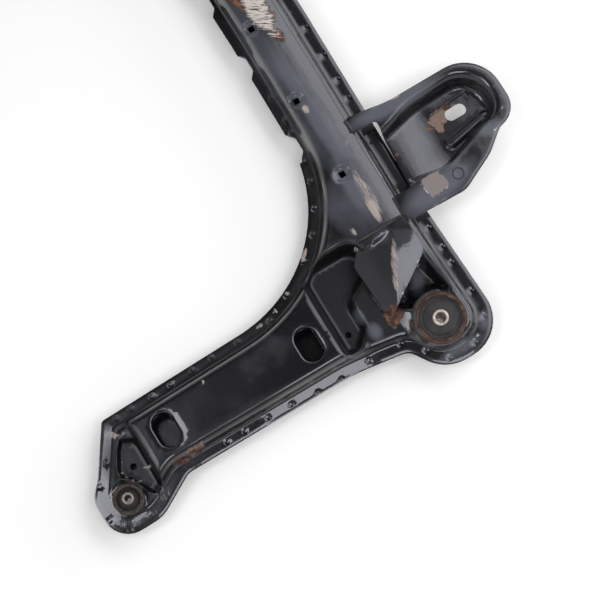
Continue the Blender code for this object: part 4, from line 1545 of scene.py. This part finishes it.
@dataclass
class WeldBead:
    """A rippled bead of weld metal along a seam.

    Its radius is a share of half its width: thin between two ripples, with a swell on each and
    a slow wander along it, and it starts from end_share at both ends. It is flattened on the seam.
    """

    layout: Layout
    name: str
    slot: str
    points: Seam
    width: float = 0.0065
    ripple: float = 0.0026
    thin: float = 0.80
    swell: float = 0.22
    wander: float = 0.25
    end_share: float = 0.45
    end_growth: float = 12.0
    flatness: float = 0.55

    def build(self, finish: bpy.types.Material, mirror: bool) -> bpy.types.Object:
        """Makes the bead.

        Args:
            finish: the weld metal's finish.
            mirror: whether it lies on the left side.

        Returns:
            The piece.
        """
        line = np.array(self.points)
        if mirror:
            line[:, 0] *= -1.0
        lengths = np.concatenate([[0.0], np.cumsum(np.linalg.norm(np.diff(line, axis=0), axis=1))])
        count = max(8, int(lengths[-1] / (self.ripple / 4.0)))
        at = np.linspace(0.0, lengths[-1], count)
        path = np.column_stack([np.interp(at, lengths, line[:, i]) for i in range(3)])
        rng = np.random.default_rng(len(self.name) + count)
        wander = self.wander * np.convolve(rng.normal(0.0, 1.0, count + 12), np.ones(13) / 13.0, "valid")
        curve = bpy.data.curves.new(self.name, "CURVE")
        curve.dimensions = "3D"
        curve.bevel_depth = self.width / 2.0
        curve.bevel_resolution = 2
        curve.use_fill_caps = True
        spline = curve.splines.new("POLY")
        spline.points.add(count - 1)
        for i, place in enumerate(path):
            phase = (at[i] / self.ripple) % 1.0
            end = min(1.0, self.end_share + self.end_growth * min(i, count - 1 - i) / count)
            spline.points[i].co = (*place, 1.0)
            spline.points[i].radius = (self.thin + self.swell * math.sin(math.pi * phase) + wander[i]) * end
        set_active(add_object(self.name, curve))
        bpy.ops.object.convert(target="MESH")
        obj = bpy.context.active_object
        axis = 0 if np.ptp(path[:, 0]) > np.ptp(path[:, 1]) else 1
        order = np.argsort(path[:, axis])
        for vertex in obj.data.vertices:
            base = np.interp(vertex.co[axis], path[order, axis], path[order, 2])
            vertex.co.z = base + (vertex.co.z - base) * self.flatness
        obj.data.materials.append(finish)
        return show(obj, [], self.layout.shift_y)


@dataclass(frozen=True)
class BlackPaint:
    """Black dip paint on pressed steel.

    The thick paint lies smooth over the sheet, so it shows crisp, slightly wavy lights on near
    black. Where it is worn it flakes to cream metal with hard edges, is drawn into fine pale
    lines, browns to rust or is dulled by dust, and a few of the dusty and rubbed patches are
    painted highlights. Grime takes its gloss, and its near-black colour is painted shade in the
    recesses and along the walls.
    """

    name: str
    dark: str = "#09090b"
    pale: str = "#131316"
    # Bluish grey of dust, also laid as painted highlights on a few patches
    dust: str = "#62636a"
    metal: str = "#cdc2b4"
    flaked: str = "#857a75"
    # Pale colour of rubbed paint, also laid as one painted highlight on a dent
    rubbed: str = "#b0a193"
    # Near black: painted shade laid in the grimy recesses and along the walls
    grime_and_shade: str = "#070707"
    rust_dark: str = "#35241c"
    rust_pale: str = "#96603b"
    stain: str = "#7c5c3a"
    roughness: float = 0.26
    worn_roughness: float = 0.72
    coat_roughness: float = 0.055
    haze: float = 0.75
    waviness: float = 0.5
    wave_depth: float = 0.0016
    flake_depth: float = 0.0006

    def build(self) -> bpy.types.Material:
        """Makes the material, which reads the wear attributes of the mesh.

        Returns:
            The material.
        """
        material, tree, shader = start_material(self.name)
        place = add_node(tree, "ShaderNodeTexCoord").outputs["Object"]
        drawn, along = (add_node(tree, "ShaderNodeMapping", {
            "Vector": place, "Rotation": (0.0, 0.0, turn), "Scale": (stretch, 1.0, 1.0)},
            vector_type="TEXTURE").outputs[0] for turn, stretch in ((SCRATCH_TURN, 14.0), (0.0, 5.0)))

        # Pattern sizes in millimetres. Those that read drawn or along are stretched the way the
        # paint was scratched or rubbed. Real hairlines are finer, and these are as fine as shows
        fields = {}
        for name, size, detail, rough, vector in (
                ("grain", 2.4, 3.0, 0.6, place), ("mottle", 7.0, 5.0, 0.62, place),
                ("blotch", 16.0, 6.0, 0.66, place), ("cloud", 75.0, 5.0, 0.55, place),
                ("wave", 46.0, 1.0, 0.3, place), ("speck", 3.4, 2.0, 0.8, place),
                ("line", 1.9, 3.0, 0.75, drawn), ("hair", 1.1, 2.0, 0.6, drawn),
                ("smear", 3.4, 7.0, 0.82, along)):
            fields[name] = add_node(tree, "ShaderNodeTexNoise", {
                "Vector": vector, "Scale": 1.0 / (size * MM), "Detail": detail,
                "Roughness": rough}).outputs["Fac"]

        # Each kind of wear shows where its attribute and its pattern add up to enough. Grime also lays
        # painted shade, and a few dust and rubbed patches are painted highlights
        masks = {}
        for kind, field, low, high in (
                (Wear.DUST_AND_HIGHLIGHT, "cloud", 0.80, 1.45), (Wear.BARE, "line", 1.40, 1.50),
                (Wear.RUST, "blotch", 1.03, 1.20), (Wear.CHIP, "mottle", 1.12, 1.15),
                (Wear.STAIN, "mottle", 1.02, 1.12),
                (Wear.RUBBED_AND_HIGHLIGHT, "smear", 1.14, 1.36), (Wear.GRIME_AND_SHADE, "cloud", 0.75, 1.30)):
            layer = add_node(tree, "ShaderNodeAttribute", attribute_name=kind.value).outputs["Fac"]
            total = add_node(tree, "ShaderNodeMath", {0: layer, 1: fields[field]}, operation="ADD").outputs[0]
            masks[kind] = add_node(tree, "ShaderNodeMapRange", {
                "Value": total, "From Min": low, "From Max": high}).outputs[0]
            if kind is Wear.CHIP:  # The middle of a flake has greyed
                inner = add_node(tree, "ShaderNodeMapRange", {
                    "Value": layer, "From Min": 0.60, "From Max": 0.68}).outputs[0]
        specks, scores = (add_node(tree, "ShaderNodeMapRange", {
            "Value": fields[name], "From Min": low, "From Max": high, "To Max": much}).outputs[0]
            for name, low, high, much in (("speck", 0.80, 0.83, 0.6), ("hair", 0.66, 0.74, 0.22)))

        # Colours laid one over the next, from the paint up to the scratches down to bare metal
        shares = {}
        for name, field, low, high in (("tone", "cloud", 0.35, 0.70), ("oxide", "mottle", 0.46, 0.72),
                                       ("brush", "grain", 0.35, 0.70)):
            shares[name] = add_node(tree, "ShaderNodeMapRange", {
                "Value": fields[field], "From Min": low, "From Max": high}).outputs[0]
        oxide = add_node(tree, "ShaderNodeMix", {
            "Factor": shares["oxide"], 6: linear(self.rust_dark), 7: linear(self.rust_pale)},
            data_type="RGBA").outputs[2]
        flaked = add_node(tree, "ShaderNodeMix", {
            "Factor": inner, 6: linear(self.metal), 7: linear(self.flaked)}, data_type="RGBA").outputs[2]
        stain = add_node(tree, "ShaderNodeMix", {
            "Factor": shares["brush"], 6: linear(self.stain), 7: linear(self.flaked)},
            data_type="RGBA").outputs[2]
        # The dust's haze, which on a few patches is a painted highlight
        haze = add_node(tree, "ShaderNodeMath", {0: masks[Wear.DUST_AND_HIGHLIGHT], 1: self.haze},
                        operation="MULTIPLY").outputs[0]
        colour: Any = linear(self.dark)
        # Grime's near-black is painted shade, and the dust haze and rubbed colour are painted highlights on a
        # few patches
        for share, over in ((shares["tone"], linear(self.pale)), (masks[Wear.GRIME_AND_SHADE], linear(self.grime_and_shade)),
                            (haze, linear(self.dust)), (scores, linear(self.dust)),
                            (specks, linear(self.metal)), (masks[Wear.RUBBED_AND_HIGHLIGHT], linear(self.rubbed)),
                            (masks[Wear.STAIN], stain), (masks[Wear.RUST], oxide),
                            (masks[Wear.CHIP], flaked), (masks[Wear.BARE], linear(self.metal))):
            colour = add_node(tree, "ShaderNodeMix", {"Factor": share, 6: colour, 7: over},
                              data_type="RGBA").outputs[2]
        tree.links.new(colour, shader.inputs["Base Color"])

        # Worn places are dull and have lost the paint's gloss. Grime, whose near-black colour is painted
        # shade, fills the gloss and stays smooth
        dull: Any = 0.0
        gloss: Any = 1.0
        for kind, dulled, lost in (
                (Wear.DUST_AND_HIGHLIGHT, 0.35, 0.35), (Wear.RUST, 1.0, 1.0), (Wear.STAIN, 0.9, 0.9),
                (Wear.CHIP, 0.9, 0.9), (Wear.BARE, 0.7, 0.7), (Wear.RUBBED_AND_HIGHLIGHT, 0.6, 0.6),
                (Wear.GRIME_AND_SHADE, 0.25, 0.9)):
            much = add_node(tree, "ShaderNodeMath", {0: masks[kind], 1: dulled},
                            operation="MULTIPLY").outputs[0]
            dull = add_node(tree, "ShaderNodeMath", {0: dull, 1: much}, operation="MAXIMUM").outputs[0]
            left = add_node(tree, "ShaderNodeMapRange", {"Value": masks[kind], "To Min": 1.0,
                                                         "To Max": 1.0 - lost}).outputs[0]
            gloss = add_node(tree, "ShaderNodeMath", {0: gloss, 1: left}, operation="MINIMUM").outputs[0]
        rough = add_node(tree, "ShaderNodeMapRange", {"Value": dull, "To Min": self.roughness,
                                                      "To Max": self.worn_roughness}).outputs[0]
        tree.links.new(rough, shader.inputs["Roughness"])
        tree.links.new(gloss, shader.inputs["Coat Weight"])
        shader.inputs["Coat Roughness"].default_value = self.coat_roughness

        # The sheet's waves, then the paint's grain and the flakes' lower level
        height = fields["wave"]
        for field, much in (("cloud", 0.8), ("hair", 0.010), ("grain", 0.012)):
            height = add_node(tree, "ShaderNodeMath", {0: fields[field], 1: much, 2: height},
                              operation="MULTIPLY_ADD").outputs[0]
        sheet = add_node(tree, "ShaderNodeBump", {
            "Height": height, "Strength": self.waviness, "Distance": self.wave_depth}).outputs[0]
        sunk = add_node(tree, "ShaderNodeMath", {0: dull, 1: fields["grain"]},
                        operation="MULTIPLY").outputs[0]
        skin = add_node(tree, "ShaderNodeBump", {
            "Height": sunk, "Strength": 0.5, "Distance": self.flake_depth, "Normal": sheet}).outputs[0]
        tree.links.new(skin, shader.inputs["Normal"])
        tree.links.new(sheet, shader.inputs["Coat Normal"])
        return material


@dataclass(frozen=True)
class Steel:
    """Turned, drawn or welded steel that has browned.

    Where it rubs it is bright, with soft metallic lights. Elsewhere matt brown rust lies on it in
    blotches, rough and darker in its grain. With little metallic it is steel under old paint.
    """

    name: str
    bright: str = "#cfc4b2"
    brown: str = "#6b432b"
    deep_brown: str = "#3a241a"
    browned: float = 0.5
    roughness: float = 0.42
    metallic: float = 0.85
    rust_roughness: float = 0.8
    rust_metallic: float = 0.1
    blotch_mm: float = 9.0
    grain_mm: float = 2.0
    grain_depth: float = 0.0004

    def build(self) -> bpy.types.Material:
        """Makes the material.

        Returns:
            The material.
        """
        material, tree, shader = start_material(self.name)
        place = add_node(tree, "ShaderNodeTexCoord").outputs["Object"]
        spots = add_node(tree, "ShaderNodeTexNoise", {
            "Vector": place, "Scale": 1.0 / (self.blotch_mm * MM), "Detail": 6.0,
            "Roughness": 0.65}).outputs["Fac"]
        fine = add_node(tree, "ShaderNodeTexNoise", {
            "Vector": place, "Scale": 1.0 / (self.grain_mm * MM), "Detail": 4.0}).outputs["Fac"]
        share = add_node(tree, "ShaderNodeMapRange", {
            "Value": spots, "From Min": 0.78 - self.browned, "From Max": 0.95 - self.browned}).outputs[0]
        rust = add_node(tree, "ShaderNodeMix", {
            "Factor": fine, 6: linear(self.brown), 7: linear(self.deep_brown)}, data_type="RGBA").outputs[2]
        colour = add_node(tree, "ShaderNodeMix", {
            "Factor": share, 6: linear(self.bright), 7: rust}, data_type="RGBA").outputs[2]
        tree.links.new(colour, shader.inputs["Base Color"])
        for name, clean, rusted in (("Metallic", self.metallic, self.rust_metallic),
                                    ("Roughness", self.roughness, self.rust_roughness)):
            value = add_node(tree, "ShaderNodeMapRange", {"Value": share, "To Min": clean, "To Max": rusted})
            tree.links.new(value.outputs[0], shader.inputs[name])
        bump = add_node(tree, "ShaderNodeBump", {
            "Height": fine, "Strength": 0.35, "Distance": self.grain_depth})
        tree.links.new(bump.outputs[0], shader.inputs["Normal"])
        return material


@dataclass(frozen=True)
class Rubber:
    """Moulded natural rubber: matt and near black, with brown dust in soft clouds."""

    name: str
    dark: str = "#1c1c1d"
    dusty: str = "#3d352f"
    roughness: float = 0.62
    cloud_mm: float = 18.0
    grain_depth: float = 0.0006

    def build(self) -> bpy.types.Material:
        """Makes the material.

        Returns:
            The material.
        """
        material, tree, shader = start_material(self.name)
        place = add_node(tree, "ShaderNodeTexCoord").outputs["Object"]
        cloud = add_node(tree, "ShaderNodeTexNoise", {
            "Vector": place, "Scale": 1.0 / (self.cloud_mm * MM), "Detail": 7.0,
            "Roughness": 0.7}).outputs["Fac"]
        share = add_node(tree, "ShaderNodeMapRange", {
            "Value": cloud, "From Min": 0.38, "From Max": 0.72}).outputs[0]
        colour = add_node(tree, "ShaderNodeMix", {
            "Factor": share, 6: linear(self.dark), 7: linear(self.dusty)}, data_type="RGBA").outputs[2]
        tree.links.new(colour, shader.inputs["Base Color"])
        shader.inputs["Roughness"].default_value = self.roughness
        bump = add_node(tree, "ShaderNodeBump", {
            "Height": cloud, "Strength": 0.4, "Distance": self.grain_depth})
        tree.links.new(bump.outputs[0], shader.inputs["Normal"])
        return material


@dataclass(frozen=True)
class Softbox:
    """A large soft panel over the object, which shines straight down unless it is tipped."""

    name: str
    x: float
    y: float
    width: float
    length: float
    power: float
    height: float = 2.0
    tip: float = 0.0
    tint: str = "#f4f5ff"

    def build(self) -> None:
        """Adds the light."""
        light = bpy.data.lights.new(self.name, "AREA")
        light.color = linear(self.tint)[:3]
        light.shape = "RECTANGLE"
        light.size = self.width
        light.size_y = self.length
        light.energy = self.power
        obj = add_object(self.name, light)
        obj.location = (self.x, self.y, self.height)
        obj.rotation_euler.x = math.radians(self.tip)


@dataclass
class Studio:
    """The pale floor, the soft lights and the camera."""

    layout: Layout
    target: tuple[float, float] = (0.3318, -0.1386)
    tilt: float = 10.5
    heading: float = -31.6
    up_heading: float = 148.75
    distance: float = 2.6
    across: float = 0.7606
    floor_side: float = 12.0
    floor_colour: str = "#fffdf4"
    floor_roughness: float = 0.9
    floor_glow: float = 0.16
    wall_colour: str = "#eef0f4"
    ceiling_fade: tuple[float, float] = (0.25, 0.70)
    wall_light: float = 0.85
    ceiling_light: float = 0.03
    softboxes: tuple[Softbox, ...] = (
        Softbox("back_softbox_fringe", 0.20, 0.81, 3.0, 0.18, 1.6),
        Softbox("back_softbox_edge", 0.20, 1.00, 3.0, 0.20, 3.8),
        Softbox("back_softbox", 0.20, 1.85, 3.0, 1.5, 40.0),
        Softbox("front_softbox", 0.08, -1.24, 0.44, 1.8, 13.0),
        Softbox("front_softbox_far", 0.95, -1.60, 1.2, 1.2, 7.0),
        Softbox("right_softbox", 1.13, 0.17, 0.76, 0.75, 8.0),
        Softbox("left_softbox", -1.90, 0.90, 1.0, 1.6, 4.0),
        Softbox("rear_window", 0.40, 3.00, 3.4, 1.3, 30.0, 0.9, -85.0),
    )

    def build(self) -> None:
        """Adds floor, world, lights and camera."""
        bpy.context.scene.view_settings.view_transform = "Standard"
        self.add_floor()
        self.add_world()
        for softbox in self.softboxes:
            softbox.build()
        self.add_camera(Vector((self.target[0], self.target[1] + self.layout.shift_y,
                                self.layout.flange_top)))

    def add_floor(self) -> None:
        """Adds the floor that the bush cores stand on."""
        select_none()
        bpy.ops.mesh.primitive_plane_add(size=self.floor_side, location=(0.0, 0.0, 0.0))
        floor = bpy.context.active_object
        floor.name = "studio_floor"
        # Opal acrylic lit weakly from behind: near white even in the object's own soft shadow
        material, _, shader = start_material("backlit opal acrylic board")
        shader.inputs["Base Color"].default_value = linear(self.floor_colour)
        shader.inputs["Roughness"].default_value = self.floor_roughness
        shader.inputs["Emission Color"].default_value = linear("#ffffff")
        shader.inputs["Emission Strength"].default_value = self.floor_glow
        floor.data.materials.append(material)

    def add_world(self) -> None:
        """Adds pale walls all round under a dark ceiling, which the flat paint mirrors as black."""
        world = bpy.data.worlds.new("studio")
        world.use_nodes = True
        tree = world.node_tree
        shader = tree.nodes["Background"]
        shader.inputs["Color"].default_value = linear(self.wall_colour)
        low, high = self.ceiling_fade
        way = add_node(tree, "ShaderNodeTexCoord").outputs["Generated"]
        height = add_node(tree, "ShaderNodeSeparateXYZ", {0: way}).outputs["Z"]
        strength = add_node(tree, "ShaderNodeMapRange", {
            "Value": height, "From Min": low, "From Max": high, "To Min": self.wall_light,
            "To Max": self.ceiling_light}).outputs[0]
        tree.links.new(strength, shader.inputs["Strength"])
        bpy.context.scene.world = world

    def add_camera(self, target: Vector) -> None:
        """Adds the camera, a little off the vertical, with the photograph's up and framing.

        Args:
            target: the point at the picture's centre.
        """
        lean, away, upward = (math.radians(angle) for angle in (self.tilt, self.heading, self.up_heading))
        back = Vector((math.cos(away) * math.sin(lean), math.sin(away) * math.sin(lean), math.cos(lean)))
        up = Vector((math.cos(upward), math.sin(upward), 0.0))
        up = (up - back * up.dot(back)).normalized()
        camera = bpy.data.cameras.new("camera")
        camera.sensor_width = 36.0
        camera.lens = camera.sensor_width * self.distance / self.across
        obj = add_object("camera", camera)
        turn = Matrix((up.cross(back), up, back)).transposed()
        obj.matrix_world = Matrix.Translation(target + back * self.distance) @ turn.to_4x4()
        bpy.context.scene.camera = obj


def spot_welds() -> list[tuple[float, float]]:
    """Where the right half's flange is spot-welded.

    Returns:
        The middle of each weld, in plan.
    """
    rows = [
        (28, 55), (72, 55), (109, 54), (137, 52), (337, 50), (367, 52), (390, 51), (434, 53), (470, 50),
        (493, 22), (493, -16), (470, -37), (445, -60), (443, -104), (445, -146), (444, -180), (440, -217),
        (439, -251), (439, -285), (439, -311), (337, -235), (337, -273), (338, -302), (340, -335),
        (341, -363), (341, -393), (342, -415), (384, -453), (405, -475), (447, -486), (472, -470),
        (318, -151), (335, -186), (321, -129), (292, -110), (86, -33), (121, -33), (139, -35), (180, -42),
        (207, -48), (240, -62), (268, -82),
    ]
    return [(x * MM, y * MM) for x, y in rows]


def wear_shade_and_highlight_patches() -> list[Patch]:
    """Where the right half's paint is scratched, rubbed, dusty or rusting, where painted shade darkens the
    grimy hollows and walls, and where a few patches are painted highlights.

    Returns:
        The patches, in plan.
    """
    shapes = {
        # Middle x and y, half width and length in mm, turn in degrees, strength and, for boxes, squareness
        Wear.BARE: [(-16, 9, 50, 23, 0, 1.0), (18, 12, 22, 12, 12, 0.9)],
        Wear.RUBBED_AND_HIGHLIGHT: [
            (128, -6, 9, 6, 0, 0.9), (192, 15, 10, 4, 0, 0.75), (262, 3, 50, 11, 2, 0.76),
            (284, -1, 26, 7, -2, 0.9), (296, -38, 10, 6, 0, 0.8), (360, -16, 50, 6.5, -28, 0.8),
            # The rubbed spot at 361, -298 is a painted highlight where a dent in the arm catches the light
            (361, -298, 5, 4, 0, 0.9), (371, 14, 5, 4, 0, 0.9), (358, -428, 9, 6, 20, 0.8),
            (415, -411, 8, 3, 60, 1.0), (284, -104, 13, 4, -48, 0.95), (172, 100, 5, 12, 0, 0.8)],
        Wear.CHIP: [
            (156, 20, 12, 6, 0, 0.52), (250, -22, 1.8, 1.8, 0, 1.0), (190, -41, 56, 1.6, -9, 0.55),
            (316, -46, 5, 3, 0, 0.8), (327, -58, 4, 3, 0, 0.8), (385, -62, 4, 3, 0, 0.8),
            (394, -23, 4, 3, 0, 0.8), (296, 83, 15, 16, 8, 0.85, 7.0), (276, 62, 10, 3, 0, 0.7),
            (257, 209, 5, 3, -30, 0.8), (276, 186, 2.5, 7, 20, 0.7), (327, -174, 4, 4, 0, 0.8),
            (334, -200, 3, 8, 0, 0.8), (366, -128, 30, 3, 0, 0.55), (361, -424, 4, 7, 0, 0.7),
            (390, -183, 2, 9, 0, 0.7), (405, -442, 3, 2, 0, 0.9), (412, -440, 3, 2, 30, 0.9),
            (420, -435, 2.5, 2, 0, 0.9), (424, -430, 2, 2.5, 0, 0.9), (422, -424, 2, 3, 0, 0.9),
            (393, -435, 2, 2, 0, 0.9), (405, -384, 2, 4, 0, 0.8), (478, 45, 4, 3, 40, 0.8),
            (488, 30, 3, 4, 0, 0.8)],
        Wear.RUST: [
            (-12, 14, 46, 19, 0, 0.66), (-36, -6, 12, 8, 0, 0.8), (26, 16, 13, 10, 0, 0.8),
            (-46, -10, 9, 8, 0, 0.9), (227, 121, 5, 6, 0, 0.8), (214, 154, 6, 9, 0, 0.72),
            (236, 65, 4, 4, 0, 0.9), (268, 42, 7, 3, 0, 0.75), (410, -48, 17, 15, 0, 0.85),
            (423, -55, 4, 3, 0, 1.0), (421, -20, 14, 10, 35, 0.6), (430, -362, 8, 36, 0, 0.66),
            (411, -366, 2.5, 4, 0, 0.9), (436, -36, 16, 5, -10, 0.7)],
        # Grime patches take the gloss, and their near-black is painted shade in the recess, the cavity, the
        # end pocket, the tray's dish and along the walls
        Wear.GRIME_AND_SHADE: [
            (362, -84, 68, 50, 0, 1.0, 5.0), (402, 14, 44, 26, -30, 0.9), (150, -33, 150, 6, 0, 0.85),
            (215, -46, 50, 8, -12, 0.9), (268, -74, 44, 8, -38, 0.9), (309, -118, 44, 8, -60, 0.9),
            (336, -250, 9, 110, 0, 0.9), (341, -400, 9, 50, 0, 0.9), (420, -270, 8, 90, 0, 0.7),
            (408, -424, 46, 30, 20, 1.0), (372, -404, 60, 12, 0, 0.9), (250, 150, 34, 60, 0, 0.45)],
        Wear.STAIN: [(221, 143, 10, 25, 6, 0.95), (233, 132, 9, 7, 0, 0.8), (427, -350, 9, 20, 0, 0.6)],
        Wear.DUST_AND_HIGHLIGHT: [
            (150, -14, 240, 20, 0, 0.62), (270, -30, 60, 30, 0, 0.62), (371, 12, 42, 13, -29, 0.8),
            (150, -1, 140, 14, 1, 1.0), (236, -6, 66, 16, -6, 1.0), (475, 48, 14, 9, -40, 0.7),
            (178, 92, 13, 66, 0, 0.95), (304, 85, 20, 56, 8, 0.95), (276, 190, 12, 34, -24, 0.9),
            # The dust patches at 416, -79 and 390, -86 are painted highlights on the rounded ridge between
            # the corner cavity and the recess
            (240, 96, 26, 20, 0, 0.4), (378, -205, 32, 50, 0, 0.42), (416, -79, 13, 10, 0, 1.0),
            (390, -86, 12, 7, 0, 0.9), (490, 2, 9, 32, 0, 0.8)],
    }
    return [Patch(kind, *(size * MM for size in row[:4]), *row[4:])
            for kind, rows in shapes.items() for row in rows]


def other_side_patches() -> list[Patch]:
    """Lighter wear for the half that is mirrored.

    Returns:
        The patches, in plan, each a little off its place and shaped by a fixed draw.
    """
    rows = [(Wear.CHIP, -230, 3), (Wear.RUST, -418, -46), (Wear.RUST, -436, -340), (Wear.DUST_AND_HIGHLIGHT, -297, 86),
            (Wear.STAIN, -228, 150), (Wear.CHIP, -366, -128), (Wear.CHIP, -287, -100),
            (Wear.DUST_AND_HIGHLIGHT, -352, -30), (Wear.CHIP, -361, -420), (Wear.DUST_AND_HIGHLIGHT, -120, 6), (Wear.CHIP, -313, 0),
            (Wear.DUST_AND_HIGHLIGHT, -262, 0)]
    rng = np.random.default_rng(7)
    made = []
    for kind, x, y in rows:
        half_x, half_y = rng.uniform(7.0, 22.0, 2) * MM
        off_x, off_y = rng.uniform(-6.0, 6.0, 2)
        made.append(Patch(kind, (x + off_x) * MM, (y + off_y) * MM, half_x, half_y,
                          rng.uniform(-30.0, 30.0), rng.uniform(0.55, 0.75)))
    return made


def weld_seams(layout: Layout, upper: UpperPressing) -> list[tuple[str, str, Seam]]:
    """Where the right half's weld beads lie.

    Args:
        layout: the shared sizes.
        upper: the sheet that they are laid on.

    Returns:
        A name, a slot and the points of each bead.
    """
    cx = layout.corner_x
    radius, root_y, rise = layout.corner_tube + 0.0012, 0.0290, 0.0008
    lines = {
        ("gusset_weld", "gusset_plate"): [(cx - 0.1350, y) for y in np.linspace(0.026, -0.042, 24)],
        ("tray_inner_weld", "mount_tray"): [(x, root_y) for x in np.linspace(0.1655, 0.1845, 10)],
        ("tray_outer_weld", "mount_tray"): [(x, root_y) for x in np.linspace(0.2835, 0.3120, 14)],
        ("tube_weld", "corner_bush_housing"): [
            (cx + radius * math.cos(angle), radius * math.sin(angle))
            for angle in np.radians(np.arange(150.0, 305.0, 5.0))],
        ("gusset_foot_weld", "gusset_plate"): [(x, -0.0595 + 0.0035 * (x - 0.34) / 0.06)
                                               for x in np.linspace(0.372, 0.3985, 14)],
    }
    seams = []
    for (name, slot), line in lines.items():
        heights = upper.height(np.array(line)) + rise
        seams.append((name, slot, [(x, y, z) for (x, y), z in zip(line, heights)]))
    return seams


def main() -> None:
    """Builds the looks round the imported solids."""
    logging.basicConfig(level=logging.INFO, format="%(message)s")
    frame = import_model()
    layout = Layout.from_frame()
    log.info("%d packed solids", len(frame["nodes"]))

    # The folded plates and the trays were painted a shade thinner, so they look greyer
    paint = BlackPaint("black dip paint on pressed steel").build()
    plate_paint = BlackPaint("black dip paint on folded steel", pale="#1c1d21", roughness=0.28).build()
    tray_paint = BlackPaint("black dip paint on deep-drawn steel", pale="#17181b", roughness=0.27).build()
    # The corner bush has browned round its bright core. The end bush is dulled by dust all over
    rubber = Rubber("moulded natural rubber").build()
    corner_finishes = {
        "housing": Steel("rusted drawn steel tube", bright="#5b4a3d", browned=0.36, roughness=0.5,
                         metallic=0.4).build(),
        "sleeve": Steel("rusted rolled steel sleeve", bright="#6f5f52", brown="#553727", browned=0.42,
                        roughness=0.5, metallic=0.5).build(),
        "rubber": rubber,
        "core": Steel("turned steel rubbed bright", bright="#cfc3b4", browned=0.27).build(),
    }
    dusty_steel = Steel("dusty drawn steel tube", bright="#4d443c", brown="#4a3325", browned=0.3,
                        roughness=0.6, metallic=0.1).build()
    end_finishes = {
        "housing": dusty_steel,
        "sleeve": dusty_steel,
        "rubber": rubber,
        "core": Steel("dull turned steel", bright="#9a9086", brown="#5a4434", browned=0.25,
                      roughness=0.55, metallic=0.4).build(),
    }
    # Weld metal was painted with the rest, and its ripples catch small glossy lights
    weld_steel = Steel("black-painted weld metal", bright="#2b2a2a", brown="#2a1f19", browned=0.3,
                       roughness=0.3, metallic=0.1).build()

    patches = wear_shade_and_highlight_patches() + other_side_patches()
    upper = UpperPressing(layout, welds=spot_welds())
    upper.build(paint, patches)
    LowerPressing(layout).build(paint, patches, upper.notch_cutter())
    MountTray(layout, upper).build(tray_paint, patches)
    GussetPlate(layout, upper).build(plate_paint, patches)

    corner = Bush(layout, "corner_bush", layout.corner_x, 0.0, layout.corner_tube, core=0.0107, bolt=0.0065,
                  tube_top=upper.boss_height + 0.0005, core_top=0.015, crown=0.0005,
                  steps=CORNER_SIDES)
    end = Bush(layout, "end_bush", layout.end_x, layout.end_y, layout.end_tube, core=0.0074, bolt=0.0043,
               tube_top=upper.end_tube_top, core_top=0.015, crown=0.009, steps=END_SIDES)
    for side in ("right", "left"):
        corner.build(corner_finishes, side)
        end.build(end_finishes, side)
        for name, slot, points in weld_seams(layout, upper):
            bead = WeldBead(layout, f"{name}_{side}", f"{slot}_{side}", points)
            bead.build(weld_steel, mirror=side == "left")

    Studio(layout).build()


if __name__ == "__main__":
    main()
